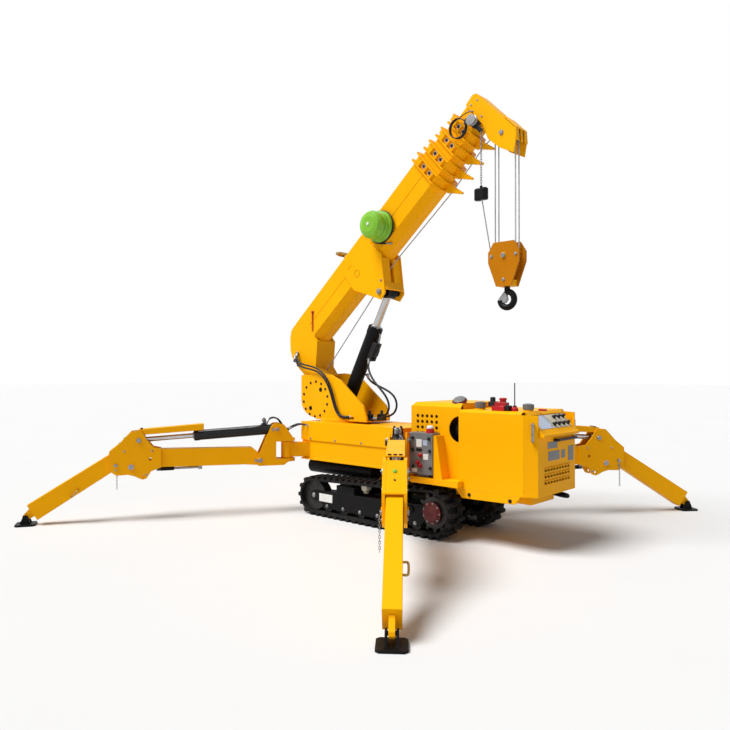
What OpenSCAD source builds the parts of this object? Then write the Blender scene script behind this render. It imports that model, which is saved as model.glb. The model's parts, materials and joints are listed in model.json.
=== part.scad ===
// Tracked spider crane, standing on its rubber tracks with four outriggers set out.
// Millimetres. +X runs from the turret to the engine hood, +Y to the far side, +Z up.
// The ground is Z = 0 and the origin is midway between the four feet.

/* [Stance] */
// from an outrigger's upright swing pin to its foot
leg_reach = 2212; // [2190:1:2240]
// front swing pins, distance ahead of the middle
swing_front_x = 797; // [790:1:810]
// rear swing pins, distance behind the middle
swing_rear_x = 549; // [540:1:552]
// swing pins, distance out from the centre line
swing_y = 405; // [402:1:415]
// heading of the front outriggers from the +X direction
front_heading = 121.1; // [110:0.1:135]
// heading of the rear outriggers from the +X direction
rear_heading = 51; // [51:0.1:70]

/* [Tracks] */
// outer faces of the tracks from the centre line
track_out = 400; // [390:1:405]
// width of one track
track_w = 190; // [180:1:194]
// front idler centre
idler_x = -472; // [-490:1:-460]
// drive sprocket centre
sprocket_x = 860; // [850:1:870]
// idler radius under the belt
idler_r = 130; // [124:1:136]
// sprocket radius under the belt
sprocket_r = 156; // [150:1:158]
// thickness of the belt
belt_t = 20; // [18:1:22]
// height of the lugs
lug_h = 24; // [18:1:26]
// lugs along one straight run
lug_n = 18; // [15:1:22]
// radius of the bottom rollers
roller_r = 54; // [48:1:58]
// thickness of a track frame's cheek plates
cheek_t = 12; // [10:1:14]
// radius of the track motor covers
cover_r = 85; // [78:1:90]

/* [Frame] */
// front end of the base frame
frame_front = -750; // [-758:1:-736]
// rear end of the base frame
frame_rear = 470; // [460:1:480]
// half width of the base frame
frame_half = 270; // [262:1:276]
// underside of the base frame
frame_low = 470; // [466:1:480]
// top of the base frame
frame_top = 822; // [815:1:826]
// height of the fold line along the frame's side
frame_seam = 650; // [640:1:680]
// radius of the dark tubes along the frame
tube_r = 66; // [60:1:68]

/* [Turret] */
// slew axis along the machine
slew_x = -430; // [-440:1:-420]
// outer faces of the turret plates from the centre line
turret_half = 160; // [157:1:168]
// thickness of a turret plate
turret_t = 20; // [16:1:22]
// winch drum centre
winch_x = -673; // [-680:1:-668]
// winch drum height
winch_z = 1029; // [1020:1:1032]
// winch drum flange radius
winch_r = 120; // [112:1:124]

/* [Boom] */
// boom pivot along the machine
luff_x = -700; // [-706:1:-694]
// boom pivot height
luff_z = 1225; // [1222:1:1232]
// angle of the boom above level as it stands
boom_angle = 40.6; // [39:0.1:43]
// boom axis above its pivot
boom_rise = 444; // [438:1:452]
// width of the base section
boom_w = 240; // [232:1:244]
// height of the base section
boom_h = 336; // [328:1:344]
// wall of each section
boom_t = 6; // [5:0.5:7]
// running gap between sections
boom_gap = 6; // [5:0.5:7]
// front end of the base section from the pivot
boom_front = 2173; // [2150:1:2190]
// step from one section's collar to the next
collar_step = 138; // [130:1:145]
// length of a collar
collar_l = 84; // [76:1:90]
// how far a collar's flanges stand out
collar_out = 26; // [22:1:30]
// reel on the boom's side, from the pivot along the boom
reel_a = 1500; // [1495:1:1530]
// reel radius
reel_r = 122; // [112:1:128]
// reel centre above the boom's axis
reel_up = 14; // [0:1:20]

/* [Boom head and hook] */
// rope sheave from the pivot along the boom
sheave_a = 2749; // [2744:1:2756]
// rope sheave above the pivot
sheave_b = 129; // [124:1:136]
// rope sheave radius at its groove
sheave_r = 92; // [88:1:95]
// rope radius
rope_r = 5; // [4:0.5:6]
// distance of the rope falls from the centre line
fall_y = 26; // [24:1:28]
// drop from the head sheave to the hook block's sheave
hook_drop = 932; // [915:1:940]
// hook throat radius
throat_r = 36; // [32:1:40]
// hook thickness radius
hook_r = 24; // [20:1:26]

/* [Lift cylinder] */
// lower pin along the machine
lift_x = -445; // [-450:1:-440]
// lower pin height
lift_z = 920; // [918:1:926]
// upper pin from the boom pivot along the boom
lift_a = 1113; // [1105:1:1120]
// upper pin above the boom pivot
lift_b = 54; // [48:1:60]
// barrel radius
lift_r = 64; // [58:1:66]
// rod radius
lift_rod_r = 34; // [30:1:38]
// barrel length from its pin
lift_len = 872; // [850:1:876]

/* [Outriggers] */
// width of the arm tubes
leg_w = 108; // [100:1:112]
// arm pin out from the swing pin
arm_s = 258; // [254:1:264]
// arm pin height
arm_z = 479; // [474:1:484]
// cylinder pin out from the swing pin
ram_s = 103; // [99:1:107]
// cylinder pin height
ram_z = 759; // [755:1:763]
// rod eye out from the swing pin
eye_s = 1311; // [1304:1:1316]
// rod eye height
eye_z = 690; // [686:1:694]
// leg pin out from the swing pin
knee_s = 1374; // [1368:1:1380]
// leg pin height
knee_z = 463; // [459:1:467]
// barrel radius of the outrigger cylinder
ram_r = 46; // [40:1:47]
// rod radius of the outrigger cylinder
ram_rod_r = 22; // [18:1:25]
// barrel length of the outrigger cylinder
ram_len = 742; // [720:1:760]
// half the side of a foot pad
pad_half = 78; // [72:1:82]
// pad pin height
pad_z = 66; // [64:1:70]

/* [Engine hood] */
// front of the hood
hood_front_x = 602; // [598:1:610]
// seam between the front hood and the side panels
hood_seam_x = 1080; // [1070:1:1090]
// rear edge of the side panels
hood_side_x = 1625; // [1615:1:1635]
// rear face of the hood
hood_rear_x = 1715; // [1708:1:1720]
// half width over the side panels
hood_half = 330; // [326:1:334]
// step in from the side panels to the front hood
hood_step = 30; // [26:1:34]
// underside of the hood panels
hood_low = 410; // [408:1:414]
// top of the side panels
hood_side_top = 985; // [978:1:990]
// roof of the rear hood
roof_z = 1004; // [998:1:1010]
// top of the front hood
front_top = 1048; // [1040:1:1056]
// sheet thickness of the panels
sheet = 4; // [3:0.5:6]
// underside of the console
console_low = 830; // [824:1:836]
// radius of the holes in the front hood's grid
vent_r = 13; // [10:1:15]

/* [Hidden] */
$fn = 48;
run = 0.05;
seat = 0.3;
clear = 5;
fuse = 1;
wide = 600;
yellow = [0.98, 0.72, 0.03];
black = [0.06, 0.06, 0.06];
steel = [0.62, 0.63, 0.64];
grey = [0.5, 0.51, 0.53];

// shared helpers

// a flat outline in X and Z, given thickness across Y from y0 to y1
module side_plate(pts, y0, y1) {
  translate([0, y1, 0]) rotate([90, 0, 0]) linear_extrude(y1 - y0) polygon(pts);
}

// a round bar across Y from y0 to y1 at x, z
module cross_bar(x, z, r, y0, y1) {
  translate([x, y1, z]) rotate([90, 0, 0]) cylinder(r = r, h = y1 - y0);
}

// a round hole right across the machine at x, z
module cross_hole(x, z, r) {
  cross_bar(x, z, r, -wide, wide);
}

// an outline in Y and Z, run along X from x0 to x1
module along_x(pts, x0, x1) {
  translate([x0, 0, 0]) rotate([90, 0, 90]) linear_extrude(x1 - x0) polygon(pts);
}

// a round bar along X from x0 to x1
module rod_x(r, x0, x1) {
  translate([x0, 0, 0]) rotate([0, 90, 0]) cylinder(r = r, h = x1 - x0);
}

// a box by its two corners
module box(a, b) {
  translate(a) cube(b - a);
}

// the piece and its mirror on the other side
module both() {
  children();
  mirror([0, 1, 0]) children();
}

// points given from a place x, z
function from(x, z, pts) = [for (p = pts) [x + p[0], z + p[1]]];

// undercarriage

idler_z = idler_r + belt_t + lug_h;
sprocket_z = sprocket_r + belt_t + lug_h;
run_l = sprocket_x - idler_x;
rise = 2 * atan2(sprocket_z - idler_z, run_l);
belt_in = 2;
track_mid = track_out - track_w / 2;
roller_n = 6;
roller_z = lug_h + belt_t - belt_in + roller_r + seat;
roller_pin = 14;
axle_r = 30;
cheek_in = track_out - track_w + 32;
cheek_out = track_out - 34;
beam_low = 168;
beam_top = 252;
cross_top = 294;

function roller_x(i) = idler_x + 170 + i * (run_l - 340) / (roller_n - 1);

// the loop of a track at a given distance outside its wheels
function loop(d) = concat(
  [for (a = [90 + rise : (180 - rise) / 18 : 270.1])
    [idler_x + (idler_r + d) * cos(a), idler_z + (idler_r + d) * sin(a)]],
  [for (a = [-90 : (180 + rise) / 18 : 90.1 + rise])
    [sprocket_x + (sprocket_r + d) * cos(a), sprocket_z + (sprocket_r + d) * sin(a)]]);

// one lug, drawn about its foot on the belt
module lug(l) {
  polygon([[-l / 2, -2], [l / 2, -2], [l * 0.32, lug_h], [-l * 0.32, lug_h]]);
}

// lugs round one wheel, spread over an angle that starts at a0
module lug_turn(x, z, r, a0, angle, pitch, shift) {
  n = round(PI * r * angle / 180 / pitch);
  for (i = [0 : n - 1]) translate([x, z]) rotate(a0 + (i + shift) * angle / n) translate([r, 0])
    rotate(-90) lug(pitch * 0.56);
}

// a row of lugs round the whole belt, moved on by part of a pitch
module lug_row(shift) {
  pitch = run_l / lug_n;
  for (i = [0 : lug_n - 1]) {
    translate([idler_x + (i + shift) * pitch, lug_h]) mirror([0, 1]) lug(pitch * 0.56);
    translate([idler_x, idler_z]) rotate(rise) translate([(i + shift) * pitch, idler_r + belt_t])
      lug(pitch * 0.56);
  }
  lug_turn(sprocket_x, sprocket_z, sprocket_r + belt_t, -90, 180 + rise, pitch, shift);
  lug_turn(idler_x, idler_z, idler_r + belt_t, 90 + rise, 180 - rise, pitch, shift);
}

module track_band(y0, y1, shift) {
  translate([0, y1, 0]) rotate([90, 0, 0]) linear_extrude(y1 - y0) {
    difference() {
      polygon(loop(belt_t));
      polygon(loop(belt_in));
    }
    lug_row(shift);
  }
}

// both tracks, each with two staggered rows of lugs
module tracks() {
  color(black) both() {
    track_band(track_mid - fuse, track_out, 0);
    track_band(track_out - track_w, track_mid, 0.5);
  }
}

wheel_y0 = cheek_in + cheek_t + 6;
wheel_y1 = cheek_out - cheek_t - 6;
tooth_root = sprocket_r - 34;

// idlers, toothed sprockets and bottom rollers on their axles
module track_wheels() {
  color(steel) both() {
    cross_bar(idler_x, idler_z, idler_r, wheel_y0, wheel_y1);
    cross_bar(idler_x, idler_z, axle_r, cheek_in, cheek_out);
    cross_bar(sprocket_x, sprocket_z, tooth_root, wheel_y0, wheel_y1);
    for (a = [0 : 30 : 330]) translate([sprocket_x, 0, sprocket_z]) rotate([0, a, 0])
      side_plate([[tooth_root - 10, -20], [sprocket_r, -10], [sprocket_r, 10], [tooth_root - 10, 20]],
        wheel_y0 + 12, wheel_y1 - 12);
    cross_bar(sprocket_x, sprocket_z, axle_r, cheek_in, cheek_out);
    for (i = [0 : roller_n - 1]) {
      cross_bar(roller_x(i), roller_z, roller_r, wheel_y0, wheel_y1);
      cross_bar(roller_x(i), roller_z, roller_pin, cheek_in, cheek_out);
    }
  }
}

// one upright plate of a track frame, bored for every axle
module cheek(y0, y1) {
  difference() {
    union() {
      side_plate([[idler_x + 90, idler_z - 44], [idler_x + 130, roller_z - 22],
        [sprocket_x - 130, roller_z - 22],
        [sprocket_x - 60, sprocket_z - 60], [sprocket_x, sprocket_z - 60], [sprocket_x, sprocket_z + 52],
        [idler_x, idler_z + 44], [idler_x, idler_z - 44]], y0, y1);
      cross_bar(idler_x, idler_z, 44, y0, y1);
      cross_bar(sprocket_x, sprocket_z, cover_r - 5, y0, y1);
    }
    cross_hole(idler_x, idler_z, axle_r + run);
    cross_hole(sprocket_x, sprocket_z, axle_r + run);
    for (i = [0 : roller_n - 1]) cross_hole(roller_x(i), roller_z, roller_pin + run);
  }
}

// both track frames, their cross beams, the upper-run blocks and the grease nipple rings
module track_frames() {
  ring_x = sprocket_x - 215;
  color(black) {
    both() {
      cheek(cheek_in, cheek_in + cheek_t);
      cheek(cheek_out - cheek_t, cheek_out);
      box([idler_x + 180, cheek_in + fuse, beam_low], [sprocket_x - 190, cheek_out - fuse, sprocket_z + 30]);
      box([idler_x + 287, cheek_in + fuse, sprocket_z], [idler_x + 499, cheek_out - fuse, cross_top]);
      difference() {
        cross_bar(ring_x, sprocket_z, 30, cheek_out - fuse, cheek_out + 14);
        cross_bar(ring_x, sprocket_z, 13, cheek_out + 4, cheek_out + 15);
      }
    }
    for (x = [idler_x + 212, sprocket_x - 300])
      box([x, -cheek_in - fuse, beam_low], [x + 150, cheek_in + fuse, cross_top]);
  }
}

// the round covers of the two track motors
module drive_covers() {
  color([0.35, 0.05, 0.06]) both() translate([sprocket_x, cheek_out, sprocket_z]) rotate([-90, 0, 0]) {
    cylinder(r = cover_r, h = 14);
    translate([0, 0, 13]) cylinder(r1 = cover_r - 6, r2 = cover_r - 24, h = 13);
  }
}

// base frame

lug_low = 491;
lug_high = 641;
lug_r = 56;
swing_pin_r = 20;
slew_r = 235;
slew_h = 14;
keel_half = 70;
keel_rear = frame_rear;

// a lug of the base frame that carries an outrigger's swing pin
module swing_lug(x, y, ang) {
  translate([x, y, 0]) difference() {
    union() {
      translate([0, 0, lug_low]) cylinder(r = lug_r, h = lug_high - lug_low);
      rotate([0, 0, ang]) box([0, -44, lug_low + 9], [250, 44, lug_high - 9]);
    }
    translate([0, 0, lug_low - 1]) cylinder(r = swing_pin_r + run, h = lug_high - lug_low + 2);
  }
}

// base frame with its folded sides, keel, slew ring and swing lugs
module main_frame() {
  lip = 14;
  inset = 10;
  color(yellow) {
    box([frame_front, -frame_half, frame_seam], [frame_rear, frame_half, frame_top]);
    box([frame_front + inset, -frame_half + inset, frame_low],
      [frame_rear, frame_half - inset, frame_seam + fuse]);
    box([frame_front, -frame_half, frame_low], [frame_rear, frame_half, frame_low + lip]);
    box([idler_x + 182, -keel_half, cross_top], [keel_rear, keel_half, frame_low + fuse]);
    translate([slew_x, 0, frame_top - fuse]) cylinder(r = slew_r, h = slew_h + fuse);
    both() {
      swing_lug(-swing_front_x, swing_y, -55);
      swing_lug(swing_rear_x, swing_y, -122);
    }
  }
}

// the dark tubes that lie under the frame above the tracks
module side_tubes() {
  tube_l = 800;
  color(black) both() translate([frame_front + 30, track_out - track_w - tube_r - 4, frame_low - tube_r]) {
    rod_x(tube_r, 0, tube_l);
    rod_x(tube_r - 16, -14, fuse);
  }
}

// deck and engine hood

hood_front_half = hood_half - hood_step;
floor_t = 16;
floor_top = hood_low + floor_t;
rail_half = 170;
rail_low = 330;
deck_low = 424;
deck_top = 472;
deck_rear = hood_seam_x + 40;
box_x0 = hood_front_x + 60;
box_x1 = box_x0 + 228;
box_out = track_out + 4;
box_in = hood_front_half + 8;
box_low = 496;
box_top = 815;

// floor, rails, the narrow decks over the tracks, the skirts and the stay behind the control box
module deck() {
  color(yellow) {
    box([keel_rear, -rail_half, rail_low], [hood_side_x - 25, rail_half, hood_low]);
    box([hood_front_x + sheet, -hood_front_half + sheet, hood_low - fuse],
      [hood_side_x, hood_front_half - sheet, floor_top]);
    box([hood_seam_x + sheet, -hood_half + sheet, hood_low], [hood_side_x, hood_half - sheet, floor_top]);
    both() {
      translate([0, 0, deck_low]) linear_extrude(deck_top - deck_low) polygon([
        [hood_front_x + 10, hood_front_half], [hood_front_x + 66, track_out], [deck_rear, track_out],
        [deck_rear, hood_half], [hood_seam_x, hood_half], [hood_seam_x, hood_front_half]]);
      side_plate([[hood_seam_x - 30, hood_low], [hood_seam_x + 30, hood_low - 66],
        [hood_side_x - 70, hood_low - 58], [hood_side_x - 25, hood_low]], hood_half - 12, hood_half);
    }
    side_plate([[box_x1, deck_top - fuse], [box_x1 + 85, deck_top - fuse], [box_x1 + 30, box_top - 15],
      [box_x1, box_top - 15]], -box_out + 9, -hood_front_half);
  }
}

edge = 30;

// outline of the front hood across the machine, pulled in by m
function front_line(m) = [[-hood_front_half + m, hood_low - 2],
  [-hood_front_half + m, front_top - edge - m * 0.4],
  [-hood_front_half + edge + m * 0.4, front_top - m], [hood_front_half - edge - m * 0.4, front_top - m],
  [hood_front_half - m, front_top - edge - m * 0.4], [hood_front_half - m, hood_low - 2]];

// outline of the front hood along the machine, pulled in by m, down to a given height
function front_profile(m, low) = [[hood_front_x + m, low], [hood_front_x + m, front_top - edge - m * 0.4],
  [hood_front_x + edge + m * 0.4, front_top - m], [hood_seam_x + m, front_top - m], [hood_seam_x + m, low]];

// front hood: hollow, with a grid of holes and a round opening at its rear edge on both sides
module hood_front() {
  color(yellow) {
    difference() {
      intersection() {
        along_x(front_line(0), hood_front_x, hood_seam_x);
        side_plate(front_profile(0, hood_low), -hood_half, hood_half);
      }
      intersection() {
        along_x(front_line(sheet), hood_front_x, hood_seam_x + 2);
        side_plate(front_profile(sheet, hood_low - 2), -hood_half, hood_half);
      }
      for (i = [0 : 4]) for (j = [0 : 3])
        cross_hole(hood_front_x + 66 + i * 46, front_top - 243 + j * 45, vent_r);
      cross_hole(hood_seam_x - 8, front_top - 196, 100);
    }
    box([hood_seam_x - sheet, -hood_front_half + edge + 2, hood_side_top],
      [hood_seam_x, hood_front_half - edge - 2, front_top - 1]);
  }
}

// the two side panels with the returns that close the step to the front hood
module hood_sides() {
  color(yellow) both() {
    box([hood_seam_x, hood_half - sheet, hood_low], [hood_side_x, hood_half, hood_side_top]);
    box([hood_seam_x, hood_front_half, deck_top], [hood_seam_x + sheet, hood_half, hood_side_top]);
  }
}

roof_cut = 24;
roof_rear = hood_side_x - 20;

module hood_roof() {
  color(yellow) difference() {
    along_x([[-hood_half, hood_side_top], [-hood_half + roof_cut, roof_z], [hood_half - roof_cut, roof_z],
      [hood_half, hood_side_top]], hood_seam_x, roof_rear);
    along_x([[-hood_half + 9, hood_side_top - 1], [-hood_half + roof_cut + 3, roof_z - sheet],
      [hood_half - roof_cut - 3, roof_z - sheet], [hood_half - 9, hood_side_top - 1]],
      hood_seam_x - 1, roof_rear + 1);
  }
}

corner_cut = 45;
cheek_half = hood_half - corner_cut - 6;

// the outline of the rear panel seen from above, pulled in by m, starting at x
function rear_line(m, x) = [[x, -hood_half + m], [hood_side_x, -hood_half + m],
  [hood_rear_x - m, -hood_half + corner_cut + m / 2], [hood_rear_x - m, hood_half - corner_cut - m / 2],
  [hood_side_x, hood_half - m], [x, hood_half - m]];

// rear panel with its grille, and the corner panels that stand up beside the console
module hood_rear() {
  bar_w = 32;
  gap_w = 12;
  bar_h = 28;
  color(yellow) difference() {
    translate([0, 0, hood_low]) linear_extrude(hood_side_top - hood_low) difference() {
      polygon(rear_line(0, hood_side_x));
      polygon(rear_line(sheet, hood_side_x - 1));
    }
    box([hood_side_x, -cheek_half, console_low], [hood_rear_x + 1, cheek_half, hood_side_top + 1]);
    for (row = [0 : 2]) for (i = [-4 : 4]) {
      y = i * (bar_w + gap_w) - bar_w / 2;
      z = hood_low + 84 + row * (bar_h + 17);
      box([hood_rear_x - 20, y, z], [hood_rear_x + 20, y + bar_w, z + bar_h]);
    }
  }
}

console_half = cheek_half - 7;
console_top = [hood_rear_x - 103, roof_z + 2];
console_nose = [hood_rear_x + 27, console_low + 28];

// sloping console with a recess for its screen and shoulders that close the roof
module console() {
  mid = (console_top + console_nose) / 2;
  slope = atan2(console_top[1] - console_nose[1], console_nose[0] - console_top[0]);
  color(yellow) {
    difference() {
      side_plate([[roof_rear, console_low], [roof_rear, roof_z], console_top, console_nose,
        console_nose + [14, -12], [console_nose[0] + 14, console_low]], -console_half, console_half);
      translate([mid[0], 0, mid[1]]) rotate([0, slope, 0])
        cube([130, 2 * console_half - 50, 10], center = true);
    }
    side_plate([[roof_rear, console_low + 70], [roof_rear, hood_side_top], [hood_side_x, hood_side_top - 20],
      [hood_side_x, console_low + 70]], -hood_half + sheet, hood_half - sheet);
  }
}

module engine() {
  color([0.12, 0.12, 0.13]) box([hood_front_x + 98, -200, floor_top], [roof_rear - 185, 200, console_low + 30]);
}

// control box on its foot
module control_box() {
  color(grey) {
    box([box_x0, -box_out, box_low], [box_x1, -box_in, box_top]);
    box([box_x0 + 60, -box_out + 24, deck_top], [box_x1 - 60, -box_in - 22, box_low + fuse]);
  }
}

// two round caps on the roof
module roof_caps() {
  places = [[hood_seam_x + 100, -185, 40], [roof_rear - 40, -150, 34]];
  color(grey) for (p = places) translate([p[0], p[1], roof_z]) {
    cylinder(r = 26, h = 13);
    translate([0, 0, 12]) cylinder(r = 38, h = p[2]);
  }
}

// filler neck and whip aerial
module roof_fittings() {
  color(black) {
    translate([hood_seam_x - 65, -215, front_top]) cylinder(r = 46, h = 16);
    translate([roof_rear - 123, -200, roof_z]) {
      cylinder(r = 14, h = 40);
      cylinder(r = 4, h = 205);
    }
  }
}

// turret and winch

turret_low = 851;
floor_low = 841;
luff_pin = 32;
lift_pin = 26;
winch_pin = 40;
drum_half = turret_half - turret_t - 6;
turret_nose = slew_x + 413;
slot_x = slew_x + 180;
slot_l = 80;
slot_h = 24;

// outline of a turret plate: round tail under the winch, high back at the boom pivot, low nose
turret_pts = concat(
  [for (a = [180 : 15 : 270]) [winch_x + 14 + 212 * cos(a),
    winch_z - 19 + (winch_z - 19 - turret_low) * sin(a)]],
  [[turret_nose, turret_low], [turret_nose, turret_low + 30], [turret_nose - 37, turret_low + 129],
   [slew_x + 90, luff_z - 17], [slew_x - 29, luff_z + 33], [slew_x - 152, luff_z + 47],
   [winch_x - 198, luff_z + 30]]);

module turret() {
  color(yellow) {
    difference() {
      both() side_plate(turret_pts, turret_half - turret_t, turret_half);
      cross_hole(luff_x, luff_z, luff_pin + run);
      cross_hole(lift_x, lift_z, lift_pin + run);
      cross_hole(winch_x, winch_z, winch_pin + run);
      box([slot_x, -wide, turret_low + 6], [slot_x + slot_l, wide, turret_low + 6 + slot_h]);
    }
    translate([slew_x, 0, frame_top + slew_h + seat])
      cylinder(r = slew_r - 10, h = turret_low - frame_top - slew_h - seat);
    box([winch_x, -turret_half, floor_low], [turret_nose, turret_half, turret_low + fuse]);
  }
}

// winch drum with its two flanges and shaft
module winch() {
  color(steel) {
    cross_bar(winch_x, winch_z, 84, -drum_half + 4, drum_half - 4);
    cross_bar(winch_x, winch_z, winch_pin, -turret_half, turret_half);
    both() cross_bar(winch_x, winch_z, winch_r, drum_half - 14, drum_half);
  }
}

// boom

shell = boom_t + boom_gap;
bevel = 14;

// outline of a boom section across its length, about the boom axis
function section(w, h) = [[-w / 2 + bevel, h / 2], [w / 2 - bevel, h / 2], [w / 2, h / 2 - bevel],
  [w / 2, -h * 0.34], [w * 0.22, -h / 2], [-w * 0.22, -h / 2], [-w / 2, -h * 0.34], [-w / 2, h / 2 - bevel]];
function sec_w(i) = boom_w - 2 * shell * i;
function sec_h(i) = boom_h - 2 * shell * i;
function sec_rear(i) = 120 + 40 * i;
function sec_front(i) = boom_front + i * collar_step;

// the boom's own frame: x along it, z square to it, from the pivot
module at_boom() {
  translate([luff_x, 0, luff_z]) rotate([0, -boom_angle, 0]) children();
}

module prism(w, h, x0, x1) {
  translate([0, 0, boom_rise]) along_x(section(w, h), x0, x1);
}

// wear pads round the rear end of an inner section
module slide_pads(w, h, x0) {
  t = boom_gap - seat;
  both() box([x0 + 20, w / 2 - fuse, boom_rise - 40], [x0 + 90, w / 2 + t, boom_rise + 40]);
  box([x0 + 20, -20, boom_rise + h / 2 - fuse], [x0 + 90, 20, boom_rise + h / 2 + t]);
  box([x0 + 20, -20, boom_rise - h / 2 - t], [x0 + 90, 20, boom_rise - h / 2 + fuse]);
}

flange_t = 12;
collar_core = 5;
rib_t = 10;

// one hollow section with its flanged collar, top ears and rope guide at the front end
module tube_section(i) {
  w = sec_w(i);
  h = sec_h(i);
  x0 = sec_rear(i);
  x1 = sec_front(i);
  c0 = x1 - collar_l;
  low = boom_rise - h / 2 - collar_out;
  top = boom_rise + h / 2 + collar_out;
  difference() {
    union() {
      prism(w, h, x0, x1);
      prism(w + 2 * collar_core, h + 2 * collar_core, c0, x1);
      prism(w + 2 * collar_out, h + 2 * collar_out, c0, c0 + flange_t);
      prism(w + 2 * collar_out, h + 2 * collar_out, x1 - flange_t, x1);
    }
    prism(w - 2 * boom_t, h - 2 * boom_t, x0 - 1, x1 + 1);
  }
  if (i > 0) slide_pads(w, h, x0);
  both() for (z = [-0.24, 0.02, 0.28]) box([c0 + flange_t - fuse, w / 2 - fuse, boom_rise + h * z - rib_t / 2],
    [x1 - flange_t + fuse, w / 2 + collar_out - 2, boom_rise + h * z + rib_t / 2]);
  side_plate([[c0 + flange_t - fuse, low + 20], [x1 - flange_t + fuse, low + 20], [x1 + 30, low - 140],
    [x1 + 16, low - 146], [c0 + flange_t - fuse, low - 20]], -9, 9);
  both() side_plate([[c0, top - 10], [x1, top - 10], [x1 - 12, top + 36], [c0 + 22, top + 36]], 30, 40);
}

foot_t = 20;
gusset_t = 14;
foot_l = 240;
foot_back = [[24, 590], [-32, 548], [-104, 456], [-132, 388], [-130, 256], [-108, 128], [-62, -20], [-40, -55]];
foot_front = [[40, -55], [62, -20], [64, 91], [foot_l, 262]];
gusset_pts = from(lift_a, lift_b, [[183, 502], [233, 236], [42, -52], [-33, -65], [-212, 230], [-206, 451]]);

// base section with its bent foot, closing plates, gussets for the lift cylinder and pivot pin
module boom_base() {
  rear_top = boom_rise + boom_h / 2 - bevel;
  color(yellow) at_boom() {
    tube_section(0);
    difference() {
      union() {
        both() side_plate(concat(foot_back, foot_front, [[foot_l, rear_top], [60, rear_top]]),
          boom_w / 2 - foot_t, boom_w / 2);
        side_plate([[24, 590], [-32, 548], [-104, 456], [-132, 388], [-130, 256], [-108, 128], [-96, 130],
          [-118, 258], [-120, 384], [-94, 450], [-24, 539], [29, 579]], -boom_w / 2 + fuse, boom_w / 2 - fuse);
        side_plate([[sec_rear(0) + 10, boom_rise + boom_h / 2 - fuse], [50, boom_rise + boom_h / 2 - 8], [20, 588],
          [28, 577], [54, 594], [sec_rear(0) + 10, boom_rise + boom_h / 2 - boom_t - 4]],
          -boom_w / 2 + bevel, boom_w / 2 - bevel);
        side_plate([[62, -20], [64, 91], [foot_l, 262], [foot_l, boom_rise - boom_h / 2 + boom_t / 2], [54, 97],
          [52, -20]], -boom_w / 2 + fuse, boom_w / 2 - fuse);
      }
      cross_hole(0, 0, luff_pin + run);
      prism(boom_w - 2 * boom_t, boom_h - 2 * boom_t, sec_rear(0) - 20, sec_rear(0) + 180);
    }
    both() {
      side_plate(gusset_pts, boom_w / 2 - fuse, boom_w / 2 + gusset_t);
      cross_bar(lift_a, lift_b, lift_pin, boom_w / 2 + gusset_t - fuse, boom_w / 2 + gusset_t + 10);
    }
    color(steel) cross_bar(0, 0, luff_pin, -turret_half, turret_half);
  }
}

module boom_2() {
  color(yellow) at_boom() tube_section(1);
}

module boom_3() {
  color(yellow) at_boom() tube_section(2);
}

module boom_4() {
  color(yellow) at_boom() tube_section(3);
}

head_t = 12;
head_pin = 20;
tip = sheave_a - 29;
head_top = boom_rise + sec_h(4) / 2;
head_low = boom_rise - sec_h(4) / 2;

// outline of a head plate, about the rope sheave
head_pts = concat([[tip - 30, head_low], [tip - 30, head_top - 24], [tip - 22, head_top - 2],
  [tip + 66, head_top + 6], [tip + 94, head_top - 16]],
  from(sheave_a, sheave_b, [[97, -69], [41, -142], [-33, -203], [-84, -76], [-104, 59]]));

// inmost section with the boom head's plates
module boom_5() {
  w = sec_w(4);
  h = sec_h(4);
  color(yellow) at_boom() {
    difference() {
      prism(w, h, sec_rear(4), tip);
      prism(w - 2 * boom_t, h - 2 * boom_t, sec_rear(4) - 1, tip + 1);
    }
    slide_pads(w, h, sec_rear(4));
    difference() {
      both() side_plate(head_pts, w / 2 - fuse, w / 2 + head_t);
      cross_hole(sheave_a, sheave_b, head_pin + run);
    }
    side_plate([[tip - 2, head_top - 1], [tip + 66, head_top + 6], [tip + 94, head_top - 16],
      [tip + 116, sheave_b + 75], [tip + 106, sheave_b + 75], [tip + 85, head_top - 20], [tip + 62, head_top - 4],
      [tip - 2, head_top - 12]], -w / 2, w / 2);
  }
}

groove = 9;

// one grooved rope wheel about y
module rope_wheel(x, z, y) {
  root = sheave_r - groove;
  translate([x, y, z]) rotate([90, 0, 0]) rotate_extrude() polygon([[0, -12], [sheave_r, -12], [sheave_r, -9],
    [root, -4], [root, 4], [sheave_r, 9], [sheave_r, 12], [0, 12]]);
}

module head_sheaves() {
  color(steel) at_boom() {
    cross_bar(sheave_a, sheave_b, head_pin, -sec_w(4) / 2 - head_t, sec_w(4) / 2 + head_t);
    for (y = [-fall_y, fall_y]) rope_wheel(sheave_a, sheave_b, y);
  }
}

// ribbed reel with a domed front, on its hub at the boom's near side
module cable_reel() {
  color([0.3, 0.75, 0.1]) at_boom() translate([reel_a, -boom_w / 2, boom_rise + reel_up]) rotate([90, 0, 0])
    rotate_extrude() polygon([[0, 0], [60, 0], [60, 34], [reel_r + 14, 34], [reel_r + 14, 62], [reel_r, 66],
      [reel_r, 98], [reel_r - 10, 102], [reel_r - 10, 112], [reel_r - 2, 116], [reel_r - 2, 158],
      [reel_r - 18, 184], [reel_r - 56, 196], [0, 196]]);
}

// lift cylinder

lift_e = [luff_x + lift_a * cos(boom_angle) - lift_b * sin(boom_angle),
  luff_z + lift_a * sin(boom_angle) + lift_b * cos(boom_angle)];
lift_ang = atan2(lift_e[1] - lift_z, lift_e[0] - lift_x);
lift_full = norm([lift_e[0] - lift_x, lift_e[1] - lift_z]);
lift_boss = 50;
lift_wide = boom_w / 2 - foot_t - 40;
gland = 4;

module at_lift() {
  translate([lift_x, 0, lift_z]) rotate([0, -lift_ang, 0]) children();
}

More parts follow.
